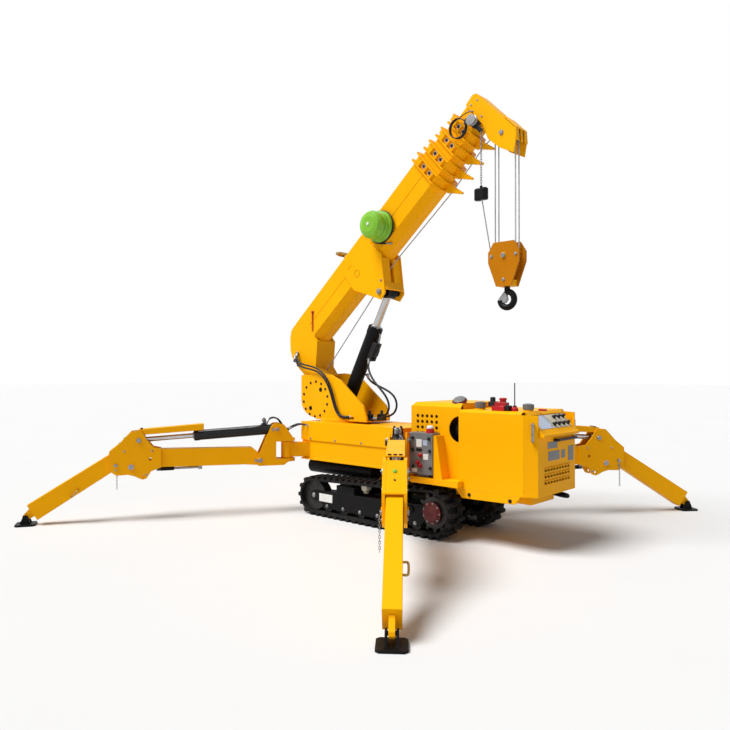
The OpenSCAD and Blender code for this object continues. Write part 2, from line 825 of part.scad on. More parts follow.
module lift_barrel() {
  color(black) at_lift() difference() {
    union() {
      rod_x(lift_r, 0, lift_len);
      rod_x(lift_r + gland, lift_len - 70, lift_len - 8);
      cross_bar(0, 0, lift_boss, -lift_wide, lift_wide);
      box([90, -26, 0], [150, 26, lift_r + 22]);
    }
    rod_x(lift_rod_r + run, 170, lift_len + 1);
    cross_hole(0, 0, lift_pin + run);
  }
  color(steel) cross_bar(lift_x, lift_z, lift_pin, -turret_half, turret_half);
}

module lift_rod() {
  color(steel) at_lift() {
    rod_x(lift_rod_r, lift_len / 2, lift_full);
    cross_bar(lift_full, 0, lift_boss, -lift_wide, lift_wide);
    cross_bar(lift_full, 0, lift_pin, -boom_w / 2 + 2, boom_w / 2 - 2);
  }
}

// hook block and hook

sheave_x = luff_x + sheave_a * cos(boom_angle) - sheave_b * sin(boom_angle);
sheave_z = luff_z + sheave_a * sin(boom_angle) + sheave_b * cos(boom_angle);
block_z = sheave_z - hook_drop;
fall_x = sheave_r - groove + rope_r + seat;
block_pin = 24;
block_in = fall_y + 18;
block_t = 12;
block_low = 235;
swivel_z = block_z - block_low;
hook_z = swivel_z - 100;

// two cheek plates, the sheaves between them and the swivel's cross piece
module hook_block() {
  color(yellow) difference() {
    both() side_plate(from(sheave_x, block_z, [[-88, 105], [88, 105], [136, 30], [136, -50], [66, -block_low],
      [-66, -block_low], [-136, -50], [-136, 30]]), block_in, block_in + block_t);
    cross_hole(sheave_x, block_z, block_pin + run);
  }
  color(steel) {
    cross_bar(sheave_x, block_z, block_pin, -block_in - block_t - 4, block_in + block_t + 4);
    for (y = [-fall_y, fall_y]) rope_wheel(sheave_x, block_z, y);
    box([sheave_x - 60, -block_in - fuse, swivel_z], [sheave_x + 60, block_in + fuse, swivel_z + 50]);
  }
}

// hook with its shank, open towards the turret
module hook() {
  mid = throat_r + hook_r;
  color(black) {
    translate([sheave_x, 0, hook_z]) mirror([1, 0, 0]) rotate([90, 0, 0]) rotate([0, 0, 90])
      rotate_extrude(angle = 265) translate([mid, 0]) circle(r = hook_r);
    translate([sheave_x, 0, hook_z + mid - 6]) cylinder(r = hook_r - 2, h = swivel_z - seat - hook_z - mid + 6);
  }
}

// four falls of rope between the two pairs of sheaves
module rope_falls() {
  color(steel) for (x = [-fall_x, fall_x], y = [-fall_y, fall_y])
    translate([sheave_x + x, y, block_z]) cylinder(r = rope_r, h = hook_drop);
}

// outriggers, drawn along +X from the swing pin

plate_in = leg_w / 2 + clear;
plate_t = 14;
plate_out = plate_in + plate_t;
arm_pin = 22;
ram_pin = 18;
knee_pin = 24;
pad_pin = 12;
web_s = 113;
deck_t = 26;
bracket_low = lug_low - clear - deck_t;
bracket_high = lug_high + clear + deck_t;

// puts an outrigger at its swing pin: 0 front near, 1 front far, 2 rear near, 3 rear far
module at_leg(k) {
  x = k < 2 ? -swing_front_x : swing_rear_x;
  a = k < 2 ? front_heading : rear_heading;
  s = k % 2 == 0 ? -1 : 1;
  translate([x, s * swing_y, 0]) rotate([0, 0, s * a]) children();
}

// swing bracket: two tall plates joined over and under the frame's lug, with all three pins
module bracket_shape() {
  color(yellow) difference() {
    union() {
      both() side_plate([[0, bracket_low], [0, lug_low - clear], [web_s, lug_low - clear],
        [web_s, lug_high + clear],
        [-50, lug_high + clear], [-50, bracket_high], [ram_s - 64, ram_z + 42], [ram_s - 20, ram_z + 55],
        [ram_s + 30, ram_z + 53], [ram_s + 56, ram_z + 28], [arm_s + 7, arm_z + 66], [arm_s + 42, arm_z + 24],
        [arm_s + 42, arm_z - 34], [arm_s + 12, arm_z - 50], [40, arm_z - 50]], plate_in, plate_out);
      for (z = [bracket_low, bracket_high - deck_t]) translate([0, 0, z]) {
        cylinder(r = plate_out, h = deck_t);
        box([0, -plate_in - fuse, 0], [web_s + plate_t, plate_in + fuse, deck_t]);
      }
      box([web_s, -plate_in - fuse, bracket_low], [web_s + plate_t, plate_in + fuse, bracket_high]);
    }
    cross_hole(arm_s, arm_z, arm_pin + run);
    cross_hole(ram_s, ram_z, ram_pin + run);
  }
  color(steel) {
    translate([0, 0, bracket_low - 10]) cylinder(r = swing_pin_r, h = bracket_high - bracket_low + 20);
    cross_bar(arm_s, arm_z, arm_pin, -plate_out - 8, plate_out + 8);
    cross_bar(ram_s, ram_z, ram_pin, -plate_out - 8, plate_out + 8);
  }
}

arm_end = knee_s - 165;
arm_top = 610;
guard_in = eye_s - 551;
guard_end = eye_s + 4;

// outline of a knuckle plate, about the leg pin
knee_pts = from(knee_s, knee_z, [[-250, 150], [-250, -12], [-165, -44], [-129, -103], [-99, -113], [-69, -103],
  [-33, -83], [26, -66], [121, -70], [171, -33], [182, 88], [179, 138], [97, 204], [3, 304], [-84, 310],
  [-124, 240], [-184, 165]]);

// arm tube with its knuckle plates, the cover over the knuckle and the guard over the rod
module arm_shape() {
  color(yellow) difference() {
    union() {
      side_plate([[arm_s - 26, arm_z - 40], [arm_s - 36, arm_z + 11], [arm_s + 4, arm_z + 61],
        [arm_s + 72, arm_top - 12],
        [arm_end, arm_top], [arm_end, arm_z - 27], [arm_s + 142, arm_z - 33], [arm_s + 42, arm_z - 41]],
        -leg_w / 2, leg_w / 2);
      both() side_plate(knee_pts, leg_w / 2 - fuse, plate_out);
      side_plate(from(knee_s, knee_z, [[3, 303], [97, 203], [179, 137], [175, 129], [91, 196], [-3, 295]]),
        -leg_w / 2, leg_w / 2);
      side_plate([[guard_in, eye_z + 133], [guard_end, eye_z + 94], [guard_end, eye_z + 87],
        [guard_in, eye_z + 126]], -plate_in, plate_in);
      both() side_plate([[guard_in, eye_z + 131], [guard_end, eye_z + 92], [guard_end, eye_z + 46],
        [guard_in, eye_z + 78]], leg_w / 2, plate_in);
      both() cross_bar(knee_s + 126, knee_z + 18, 15, plate_out - fuse, plate_out + 12);
    }
    cross_hole(arm_s, arm_z, arm_pin + run);
    cross_hole(knee_s, knee_z, knee_pin + run);
    cross_hole(knee_s - 159, knee_z + 63, 13);
    cross_hole(knee_s - 99, knee_z - 84, 12);
  }
}

// leg tube with the lug for its pad and the leg pin
module leg_shape() {
  half = leg_w / 2 - clear;
  color(yellow) difference() {
    union() {
      side_plate(concat([[leg_reach - 14, pad_z + 106], [leg_reach - 96, pad_z - 20]],
        from(knee_s, knee_z, [[106, -8], [66, -45], [-24, -45], [-44, -11], [-34, 45], [66, 133], [126, 143]])),
        -half, half);
      side_plate(from(leg_reach, pad_z, [[-92, 22], [-44, 92], [24, 14], [26, -8], [10, -24], [-12, -24]]),
        -16, 16);
    }
    cross_hole(leg_reach, pad_z, pad_pin + run);
  }
  color(steel) cross_bar(knee_s, knee_z, knee_pin, -plate_out - 10, plate_out + 10);
}

pad_t = 16;

// square foot pad with cut corners and two ears for its pin
module pad_shape() {
  cut = 18;
  color(black) translate([leg_reach, 0, 0]) {
    linear_extrude(pad_t) polygon([[-pad_half, -pad_half + cut], [-pad_half + cut, -pad_half],
      [pad_half - cut, -pad_half], [pad_half, -pad_half + cut], [pad_half, pad_half - cut],
      [pad_half - cut, pad_half], [-pad_half + cut, pad_half], [-pad_half, pad_half - cut]]);
    both() side_plate([[-44, pad_t - fuse], [44, pad_t - fuse], [16, pad_z + 18], [-16, pad_z + 18]], 22, 34);
    cross_bar(0, pad_z, pad_pin, -34, 34);
  }
}

ram_ang = atan2(eye_z - ram_z, eye_s - ram_s);
ram_full = norm([eye_s - ram_s, eye_z - ram_z]);
ram_half = leg_w / 2 - 9;

// the cylinder's own frame: x along it from its pin
module at_ram() {
  translate([ram_s, 0, ram_z]) rotate([0, -ram_ang, 0]) children();
}

module ram_shape() {
  color(black) at_ram() difference() {
    union() {
      rod_x(ram_r, 0, ram_len);
      rod_x(ram_r + 3, ram_len - 48, ram_len - 6);
      cross_bar(0, 0, 40, -ram_half, ram_half);
      box([84, -20, 0], [132, 20, ram_r + 16]);
    }
    rod_x(ram_rod_r + run, 150, ram_len + 1);
    cross_hole(0, 0, ram_pin + run);
  }
}

module rod_shape() {
  color(steel) at_ram() {
    rod_x(ram_rod_r, ram_len * 0.65, ram_full);
    cross_bar(ram_full, 0, 32, -ram_half, ram_half);
    cross_bar(ram_full, 0, ram_pin, -leg_w / 2 + 3, leg_w / 2 - 3);
  }
}

module bracket_fn() {
  at_leg(0) bracket_shape();
}

module bracket_ff() {
  at_leg(1) bracket_shape();
}

module bracket_rn() {
  at_leg(2) bracket_shape();
}

module bracket_rf() {
  at_leg(3) bracket_shape();
}

module arm_fn() {
  at_leg(0) arm_shape();
}

module arm_ff() {
  at_leg(1) arm_shape();
}

module arm_rn() {
  at_leg(2) arm_shape();
}

module arm_rf() {
  at_leg(3) arm_shape();
}

module leg_fn() {
  at_leg(0) leg_shape();
}

module leg_ff() {
  at_leg(1) leg_shape();
}

module leg_rn() {
  at_leg(2) leg_shape();
}

module leg_rf() {
  at_leg(3) leg_shape();
}

module pad_fn() {
  at_leg(0) pad_shape();
}

module pad_ff() {
  at_leg(1) pad_shape();
}

module pad_rn() {
  at_leg(2) pad_shape();
}

module pad_rf() {
  at_leg(3) pad_shape();
}

module ram_fn() {
  at_leg(0) ram_shape();
}

module ram_ff() {
  at_leg(1) ram_shape();
}

module ram_rn() {
  at_leg(2) ram_shape();
}

module ram_rf() {
  at_leg(3) ram_shape();
}

module rod_fn() {
  at_leg(0) rod_shape();
}

module rod_ff() {
  at_leg(1) rod_shape();
}

module rod_rn() {
  at_leg(2) rod_shape();
}

module rod_rf() {
  at_leg(3) rod_shape();
}

main_frame();
track_frames();
tracks();
track_wheels();
drive_covers();
side_tubes();
deck();
hood_front();
hood_sides();
hood_roof();
hood_rear();
console();
engine();
control_box();
roof_caps();
roof_fittings();
turret();
winch();
boom_base();
boom_2();
boom_3();
boom_4();
boom_5();
head_sheaves();
cable_reel();
lift_barrel();
lift_rod();
hook_block();
hook();
rope_falls();
bracket_fn();
bracket_ff();
bracket_rn();
bracket_rf();
arm_fn();
arm_ff();
arm_rn();
arm_rf();
leg_fn();
leg_ff();
leg_rn();
leg_rf();
pad_fn();
pad_ff();
pad_rn();
pad_rf();
ram_fn();
ram_ff();
ram_rn();
ram_rf();
rod_fn();
rod_ff();
rod_rn();
rod_rf();
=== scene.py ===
import json
import math

import bmesh
import bpy
from mathutils import Matrix, Vector


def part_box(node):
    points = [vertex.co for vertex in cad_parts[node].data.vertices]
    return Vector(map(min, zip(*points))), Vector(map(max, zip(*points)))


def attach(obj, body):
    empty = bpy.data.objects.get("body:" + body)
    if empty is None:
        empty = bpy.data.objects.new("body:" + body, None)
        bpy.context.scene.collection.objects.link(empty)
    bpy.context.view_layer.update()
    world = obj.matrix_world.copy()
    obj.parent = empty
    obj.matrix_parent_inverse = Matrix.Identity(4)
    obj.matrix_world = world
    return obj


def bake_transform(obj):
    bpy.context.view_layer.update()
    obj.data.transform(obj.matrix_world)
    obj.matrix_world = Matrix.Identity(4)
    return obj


# A tracked spider crane: the finish of every solid, and its bolts, ropes, hoses and switches.
# Metres, in the frame of the solids: +X from the turret to the hood, +Y to the far side, +Z up.

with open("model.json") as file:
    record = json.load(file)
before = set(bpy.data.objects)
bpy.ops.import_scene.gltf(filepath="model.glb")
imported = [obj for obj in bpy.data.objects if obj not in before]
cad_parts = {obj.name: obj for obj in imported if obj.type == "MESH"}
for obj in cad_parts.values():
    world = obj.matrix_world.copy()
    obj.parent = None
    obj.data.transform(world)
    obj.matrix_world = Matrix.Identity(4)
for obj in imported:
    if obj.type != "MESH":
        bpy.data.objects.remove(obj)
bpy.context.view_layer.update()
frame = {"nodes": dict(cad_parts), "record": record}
nodes = frame["nodes"]
joints = {j["name"]: j for j in frame["record"]["behaviour"]["joints"]}
NEAR = Vector((0, -1, 0))
UP = Vector((0, 0, 1))


def pin_of(joint):
    """The point that a joint turns about."""
    return Vector(joints[joint]["pos_m"])


# Camera, at the photograph's place

CAMERA_AT = Vector((3.993, -4.545, 1.3))
CAMERA_AIM = Vector((-0.6764, 0.7365, 0.0081))
CAMERA_LENS = 33.18


def add_object(name, data, aim=None):
    """A new object, which may look along a direction."""
    obj = bpy.data.objects.new(name, data)
    bpy.context.collection.objects.link(obj)
    if aim:
        obj.rotation_mode = "QUATERNION"
        obj.rotation_quaternion = aim.to_track_quat("-Z", "Y")
    return obj


def make_camera():
    """The photograph's view."""
    data = bpy.data.cameras.new("camera")
    data.lens = CAMERA_LENS
    data.sensor_width = 36
    data.clip_end = 500
    camera = add_object("camera", data, CAMERA_AIM)
    camera.location = CAMERA_AT
    bpy.context.scene.camera = camera


# Materials

def fill(node, values):
    """Set a node's inputs by their names."""
    for key, value in values.items():
        node.inputs[key].default_value = value


def node_maker(tree):
    """A short way to add nodes with inputs and settings."""
    def make(kind, values=None, **settings):
        node = tree.nodes.new(kind)
        for key, value in settings.items():
            setattr(node, key, value)
        fill(node, values or {})
        return node
    return make


COAT_ROUGHNESS = 0.12
BUMP_HEIGHT = 0.002


def finish(name, colour, roughness, metallic=0.0, shade=0.12, grain=6.0, bump=0.05, bump_scale=180.0,
           coat=0.0, edge=0.003, wear=None, dust=None, stretch=None, specular=0.35):
    """A procedural finish: drifting colour, uneven gloss, fine bump, rounded edges, wear and dust."""
    material = bpy.data.materials.new(name)
    material.use_nodes = True
    tree = material.node_tree
    make = node_maker(tree)
    link = tree.links.new
    shader = tree.nodes["Principled BSDF"]
    fill(shader, {"Metallic": metallic, "Specular IOR Level": specular, "Coat Weight": coat,
                  "Coat Roughness": COAT_ROUGHNESS})
    position = make("ShaderNodeTexCoord").outputs["Object"]
    place = position
    if stretch:
        mapping = make("ShaderNodeMapping", {"Scale": stretch})
        link(position, mapping.inputs["Vector"])
        place = mapping.outputs["Vector"]

    def noise(scale, detail):
        n = make("ShaderNodeTexNoise", {"Scale": scale, "Detail": detail})
        link(place, n.inputs["Vector"])
        return n.outputs["Fac"]

    def blend(factor, a, b):
        mix = make("ShaderNodeMix", data_type="RGBA")
        link(factor, mix.inputs["Factor"])
        for socket, value in ((mix.inputs["A"], a), (mix.inputs["B"], b)):
            if isinstance(value, tuple):
                socket.default_value = (*value, 1)
            else:
                link(value, socket)
        return mix.outputs["Result"]

    def spread(value, low, high, out_low, out_high):
        n = make("ShaderNodeMapRange", {"From Min": low, "From Max": high, "To Min": out_low,
                                        "To Max": out_high})
        link(value, n.inputs["Value"])
        return n.outputs["Result"]

    def patches(where, amount, under, over):
        patch = make("ShaderNodeMath", operation="MULTIPLY")
        link(where, patch.inputs[0])
        link(amount, patch.inputs[1])
        return blend(patch.outputs["Value"], under, over)

    dark = tuple(c * (1 - shade) for c in colour)
    light = tuple(min(c * (1 + shade * 0.5), 1) for c in colour)
    tone = blend(spread(noise(grain, 5), 0.3, 0.7, 0, 1), dark, light)
    rounded = make("ShaderNodeBevel", {"Radius": edge}, samples=4)
    if wear:
        dot = make("ShaderNodeVectorMath", operation="DOT_PRODUCT")
        link(rounded.outputs["Normal"], dot.inputs[0])
        link(make("ShaderNodeNewGeometry").outputs["Normal"], dot.inputs[1])
        rim = spread(dot.outputs["Value"], 0.995, 0.93, 0, 1)
        tone = patches(rim, spread(noise(28, 4), 0.52, 0.68, 0, 0.75), tone, wear)
    if dust:
        height = make("ShaderNodeSeparateXYZ")
        link(position, height.inputs["Vector"])
        low = spread(height.outputs["Z"], 0.0, 0.5, 1.0, 0.0)
        tone = patches(low, spread(noise(11, 6), 0.4, 0.75, 0, 0.6), tone, dust)
    link(tone, shader.inputs["Base Color"])
    link(spread(noise(grain * 3, 4), 0.3, 0.7, roughness * 0.82, min(roughness * 1.2, 1)),
         shader.inputs["Roughness"])
    relief = make("ShaderNodeBump", {"Strength": bump, "Distance": BUMP_HEIGHT})
    link(noise(bump_scale, 3), relief.inputs["Height"])
    link(rounded.outputs["Normal"], relief.inputs["Normal"])
    link(relief.outputs["Normal"], shader.inputs["Normal"])
    return material


WORN = (0.5, 0.3, 0.03)
SOIL = (0.11, 0.09, 0.07)
TRACK_DUST = (0.045, 0.04, 0.035)
MATERIALS = {
    "yellow_paint": finish(
        "yellow_enamel", (0.95, 0.43, 0.0005), 0.45, shade=0.05, grain=1.6, bump=0.04, bump_scale=420,
        edge=0.006, wear=WORN, specular=0.07),
    "black_paint": finish(
        "black_enamel", (0.003, 0.003, 0.0034), 0.45, shade=0.3, bump_scale=300, edge=0.004,
        wear=(0.03, 0.03, 0.03), specular=0.13),
    "track_rubber": finish(
        "track_rubber", (0.008, 0.008, 0.009), 0.75, shade=0.35, grain=14, bump=0.35, bump_scale=120,
        edge=0.004, dust=TRACK_DUST, specular=0.15),
    "bright_steel": finish(
        "chromed_rod", (0.5, 0.5, 0.51), 0.24, metallic=1.0, shade=0.1, grain=9, bump=0.03, bump_scale=500,
        edge=0.001),
    "bare_steel": finish(
        "bare_steel", (0.3, 0.3, 0.31), 0.42, metallic=1.0, shade=0.25, grain=30, bump=0.1, bump_scale=320,
        edge=0.002),
    "red_paint": finish(
        "red_enamel", (0.13, 0.01, 0.012), 0.45, shade=0.25, grain=16, bump=0.12, bump_scale=160,
        edge=0.004, dust=SOIL, specular=0.25),
    "engine_iron": finish(
        "cast_iron", (0.02, 0.02, 0.021), 0.62, shade=0.3, grain=12, bump=0.3, bump_scale=140,
        specular=0.2),
    "grey_panel": finish(
        "grey_panel", (0.17, 0.175, 0.18), 0.42, shade=0.1, grain=9, bump=0.08, bump_scale=260,
        wear=(0.34, 0.34, 0.34)),
    "black_plastic": finish(
        "black_plastic", (0.009, 0.009, 0.01), 0.48, shade=0.2, grain=20, bump=0.15, bump_scale=380,
        edge=0.002, specular=0.25),
    "green_plastic": finish(
        "green_plastic", (0.2, 0.5, 0.03), 0.32, grain=5, bump_scale=240, coat=0.15,
        edge=0.006, specular=0.25),
    "rope_steel": finish(
        "rope_steel", (0.42, 0.42, 0.43), 0.5, metallic=0.3, shade=0.4, grain=60, bump=0.8, bump_scale=220,
        edge=0.0005, stretch=(1, 1, 2.5)),
}
HOSE = finish(
    "hose_rubber", (0.007, 0.007, 0.008), 0.4, shade=0.25, grain=18, bump=0.2, bump_scale=420,
    specular=0.28)
BRIGHT_RED = finish(
    "bright_red", (0.42, 0.008, 0.012), 0.34, shade=0.15, grain=22, coat=0.15, specular=0.2)
WHITE = finish("white_plastic", (0.72, 0.72, 0.7), 0.38, shade=0.06, grain=20)
BRASS = finish("brass", (0.42, 0.27, 0.09), 0.36, metallic=1.0, shade=0.2, grain=40)
SCREEN = finish("screen_glass", (0.42, 0.52, 0.68), 0.12, shade=0.1, grain=3, bump=0.01, coat=0.6)
PALE = finish("pale_panel", (0.62, 0.56, 0.44), 0.4, shade=0.07, grain=12)
GLOSS_BLACK = finish(
    "gloss_black", (0.004, 0.004, 0.0045), 0.3, shade=0.3, bump=0.02, bump_scale=300, edge=0.004,
    specular=0.3)
# Painted shade: a near-black finish that stands in for the shade inside holes and slots.
RECESS_SHADE = finish("dark_recess", (0.006, 0.006, 0.006), 0.7, shade=0.3, specular=0.1)
IRON = finish(
    "worn_iron", (0.05, 0.048, 0.046), 0.55, metallic=0.5, shade=0.4, grain=18, bump=0.2, bump_scale=150,
    wear=(0.3, 0.3, 0.3))
# Painted shade: a darker orange copy of the yellow enamel for the hook block's side plates; its edge wear is
# real wear.
SHADED_YELLOW = finish(
    "shaded_yellow_enamel", (0.5, 0.17, 0.002), 0.45, shade=0.08, grain=3, bump_scale=420, edge=0.005,
    wear=WORN, specular=0.08)


# Mesh building

SHARP_ANGLE = math.radians(38)
BEVEL_ANGLE = math.radians(40)


def skin(bm, a, b):
    """Faces between two rings of points, either of which may be a single point."""
    n = max(len(a), len(b))
    for i in range(n):
        j = (i + 1) % n
        if len(a) == 1:
            bm.faces.new((a[0], b[i], b[j]))
        elif len(b) == 1:
            bm.faces.new((a[j], a[i], b[0]))
        else:
            bm.faces.new((a[i], b[i], b[j], a[j]))


def ring(bm, at, u, v, radius, sides):
    """Points round a centre, or the centre alone."""
    if radius < 1e-6:
        return [bm.verts.new(at)]
    step = 2 * math.pi / sides
    spokes = [u * math.cos(i * step) + v * math.sin(i * step) for i in range(sides)]
    return [bm.verts.new(at + spoke * radius) for spoke in spokes]


def spin(bm, profile, at, axis, sides):
    """Turn an outline of (radius, height) pairs about an axis through a point; its ends are closed."""
    w = Vector(axis).normalized()
    u = w.orthogonal().normalized()
    outline = [(0, profile[0][1]), *profile, (0, profile[-1][1])]
    rings = [ring(bm, Vector(at) + w * h, u, w.cross(u), r, sides) for r, h in outline]
    for a, b in zip(rings, rings[1:]):
        skin(bm, a, b)


def tube(bm, path, radius, sides):
    """A round tube along a path, with closed ends."""
    points = [Vector(p) for p in path]
    tangent = (points[1] - points[0]).normalized()
    u = tangent.orthogonal().normalized()
    rings = [ring(bm, points[0], u, tangent.cross(u), 0, sides)]
    for i, p in enumerate(points):
        tangent = (points[min(i + 1, len(points) - 1)] - points[max(i - 1, 0)]).normalized()
        u = (u - tangent * u.dot(tangent)).normalized()
        rings.append(ring(bm, p, u, tangent.cross(u), radius, sides))
    rings.append(ring(bm, points[-1], u, tangent, 0, sides))
    for a, b in zip(rings, rings[1:]):
        skin(bm, a, b)


def slab(bm, outline, low, high, place=None):
    """A flat outline in X and Z, thick across Y from low to high, in its own place."""
    place = place or Matrix()
    a = [bm.verts.new(place @ Vector((x, low, z))) for x, z in outline]
    b = [bm.verts.new(place @ Vector((x, high, z))) for x, z in outline]
    bm.faces.new(a)
    bm.faces.new(b[::-1])
    skin(bm, a, b)


def block(bm, low, high, place=None):
    """A box by its two corners, in its own place."""
    (x0, y0, z0), (x1, y1, z1) = low, high
    slab(bm, [(x0, z0), (x1, z0), (x1, z1), (x0, z1)], y0, y1, place)


def side_blocks(bm, low, high):
    """A box on each side, with Y measured out from the middle."""
    (x0, y0, z0), (x1, y1, z1) = low, high
    for side in (-1, 1):
        a, b = sorted((side * y0, side * y1))
        block(bm, (x0, a, z0), (x1, b, z1))


def around(count, radius, shift=0.0):
    """Places spaced evenly round a circle, as pairs."""
    turns = [2 * math.pi * (i + shift) / count for i in range(count)]
    return [(radius * math.cos(a), radius * math.sin(a)) for a in turns]


def bolt(bm, at, axis, radius):
    """A hexagon bolt head on its washer."""
    spin(bm, [(radius * 1.45, -0.001), (radius * 1.45, radius * 0.25)], at, axis, 20)
    spin(bm, [(radius, 0), (radius, radius * 0.8), (radius * 0.86, radius * 0.98)], at, axis, 6)


def pin_cap(bm, at, axis, radius):
    """A round pin end with a chamfer and a grease nipple."""
    spin(bm, [(radius, -0.002), (radius, 0.004), (radius * 0.86, 0.009)], at, axis, 28)
    spin(bm, [(radius * 0.22, 0.006), (radius * 0.22, 0.014), (radius * 0.12, 0.018)], at, axis, 10)


def chain(bm, spots, wide, high, radius, steps, sides, place=None):
    """Oval links at points in a row, every second one turned."""
    place = place or Matrix()
    turns = [2 * math.pi * i / steps for i in range(steps + 1)]
    loop = [Vector((wide * math.cos(a), 0, high * math.sin(a))) for a in turns]
    for i, spot in enumerate(spots):
        link = place @ Matrix.Translation(spot) @ Matrix.Rotation(math.pi / 2 * (i % 2), 4, "Z")
        tube(bm, [link @ p for p in loop], radius, sides)


def through(points, count=6):
    """A smooth path through points."""
    p = [Vector(q) for q in points]
    p = [p[0] * 2 - p[1], *p, p[-1] * 2 - p[-2]]
    path = []
    for a, b, c, d in zip(p, p[1:], p[2:], p[3:]):
        for i in range(count):
            t = i / count
            path.append(0.5 * (2 * b + (c - a) * t + (2 * a - 5 * b + 4 * c - d) * t ** 2
                               + (3 * b - a - 3 * c + d) * t ** 3))
    return [*path, p[-2]]


def mesh_from(bm, name):
    """A mesh with its faces turned outward."""
    bmesh.ops.recalc_face_normals(bm, faces=bm.faces)
    mesh = bpy.data.meshes.new(name)
    bm.to_mesh(mesh)
    bm.free()
    return mesh


def piece(name, bm, body, slot, material=None, bevel=0.0):
    """A piece of the object, with its finish, soft edges and the body that it rides."""
    mesh = mesh_from(bm, name)
    mesh.polygons.foreach_set("use_smooth", [True] * len(mesh.polygons))
    mesh.set_sharp_from_angle(angle=SHARP_ANGLE)
    mesh.materials.append(material or MATERIALS[slot])
    obj = add_object(name, mesh)
    if bevel:
        soft = obj.modifiers.new("soft_edges", "BEVEL")
        soft.width = bevel
        soft.segments = 2
        soft.limit_method = "ANGLE"
        soft.angle_limit = BEVEL_ANGLE
    if body:
        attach(obj, body)
    return obj


def single(name, build, shape, body, slot, material=None, bevel=0.0):
    """A piece that is a single shape."""
    bm = bmesh.new()
    build(bm, *shape)
    return piece(name, bm, body, slot, material, bevel)


def settle(path, passes):
    """A path with its bends eased and its ends kept."""
    for _ in range(passes):
        path = [path[0], *[(a + b * 2 + c) / 4 for a, b, c in zip(path, path[1:], path[2:])], path[-1]]
    return path


def hose(name, points, radius, body, other=None, passes=40):
    """A hydraulic hose with its two crimped ends; where it joins two bodies, it is fixed in place and rides
    neither.
    """
    path = settle(through(points), passes)
    rides = None if other else body
    line = single(name, tube, (path, radius, 10), rides, "black_plastic", HOSE)
    bm = bmesh.new()
    for end, inner in ((path[0], path[2]), (path[-1], path[-3])):
        axis = inner - end
        spin(bm, [(radius * 1.5, -0.012), (radius * 1.5, 0.004), (radius * 1.3, 0.006), (radius * 1.3, 0.034),
                  (radius * 1.05, 0.038)], end, axis, 16)
        spin(bm, [(radius * 1.9, -0.014), (radius * 1.9, 0.0)], end, axis, 6)
    ends = piece(name + "_ends", bm, rides, "bare_steel")
    if other:
        for obj in (line, ends):
            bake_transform(obj)


# Frames of the boom, the lift cylinder and the outriggers

BOOM_ANGLE = math.radians(40.6)
BOOM = Matrix.Translation(pin_of("luff")) @ Matrix.Rotation(-BOOM_ANGLE, 4, "Y")
BOOM_HALF = 0.120
BOOM_HIGH = 0.336
BOOM_RISE = 0.444
SECTION_FRONT = 2.173
COLLAR_STEP = 0.138
SHELL_STEP = 0.012
GUSSET_FACE = 0.134
GUSSET_INSIDE = 0.1195
HEAD_FACE = 0.084
REEL = (1.5, -BOOM_HALF, 0.458)
LIFT_FOOT = pin_of("lift_tilt")
LIFT_PIN = Vector((1.113, 0, 0.054))
LIFT_EYE = BOOM @ LIFT_PIN
LIFT_ANGLE = math.atan2(LIFT_EYE.z - LIFT_FOOT.z, LIFT_EYE.x - LIFT_FOOT.x)
LIFT = Matrix.Translation(LIFT_FOOT) @ Matrix.Rotation(-LIFT_ANGLE, 4, "Y")
HEADINGS = {"fn": -121.1, "ff": 121.1, "rn": -51.0, "rf": 51.0}
ARM_PIN = (0.258, 0.479)
RAM_PIN = (0.103, 0.759)
EYE_PIN = (1.311, 0.690)
KNEE_PIN = (1.374, 0.463)
LOCK_PIN = (KNEE_PIN[0] + 0.126, KNEE_PIN[1] + 0.018)
PLATE_OUT = 0.073
TURRET_FACE = 0.160
BLOCK_PIN_DROP = 0.105


def boom_at(a, y, b):
    """A point along, across and above the boom from its pivot."""
    return BOOM @ Vector((a, y, b))


def leg_frame(leg):
    """An outrigger's frame: X out from its swing pin, Z up from the ground."""
    pin = pin_of("swing_" + leg)
    return Matrix.Translation((pin.x, pin.y, 0)) @ Matrix.Rotation(math.radians(HEADINGS[leg]), 4, "Z")


def ram_frame(leg):
    """An outrigger cylinder's frame: X along it from its pin."""
    angle = math.atan2(EYE_PIN[1] - RAM_PIN[1], EYE_PIN[0] - RAM_PIN[0])
    place = Matrix.Translation((RAM_PIN[0], 0, RAM_PIN[1]))
    return leg_frame(leg) @ place @ Matrix.Rotation(-angle, 4, "Y")


def block_pin():
    """The middle of the hook block's sheave pin."""
    low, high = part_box("hook_block")
    return Vector(((low.x + high.x) / 2, 0, high.z - BLOCK_PIN_DROP))


# Finish of the solids

SLOT_OF = {s["node"]: s["material_slot"] for s in frame["record"]["subparts"]}
PROUD = 0.0005
FLUSH = 0.001


def paint_solids():
    """Each solid gets the finish of its slot."""
    for name, obj in nodes.items():
        obj.data.materials.clear()
        obj.data.materials.append(MATERIALS[SLOT_OF[name]])
        obj.data.polygons.foreach_set("material_index", [0] * len(obj.data.polygons))


def paint_part(node, material, test=None):
    """Another finish for a solid, or for the faces whose middle passes a test."""
    mesh = nodes[node].data
    mesh.materials.append(material)
    index = len(mesh.materials) - 1
    for face in mesh.polygons:
        if test is None or test(face.center):
            face.material_index = index


def on_pins(back, pins, radius):
    """A test for pin ends that stand out of an outrigger's plates."""
    def test(centre):
        p = back @ centre
        out = abs(p.y) > PLATE_OUT + PROUD
        return out and any(math.hypot(p.x - s, p.z - z) < radius for s, z in pins)
    return test


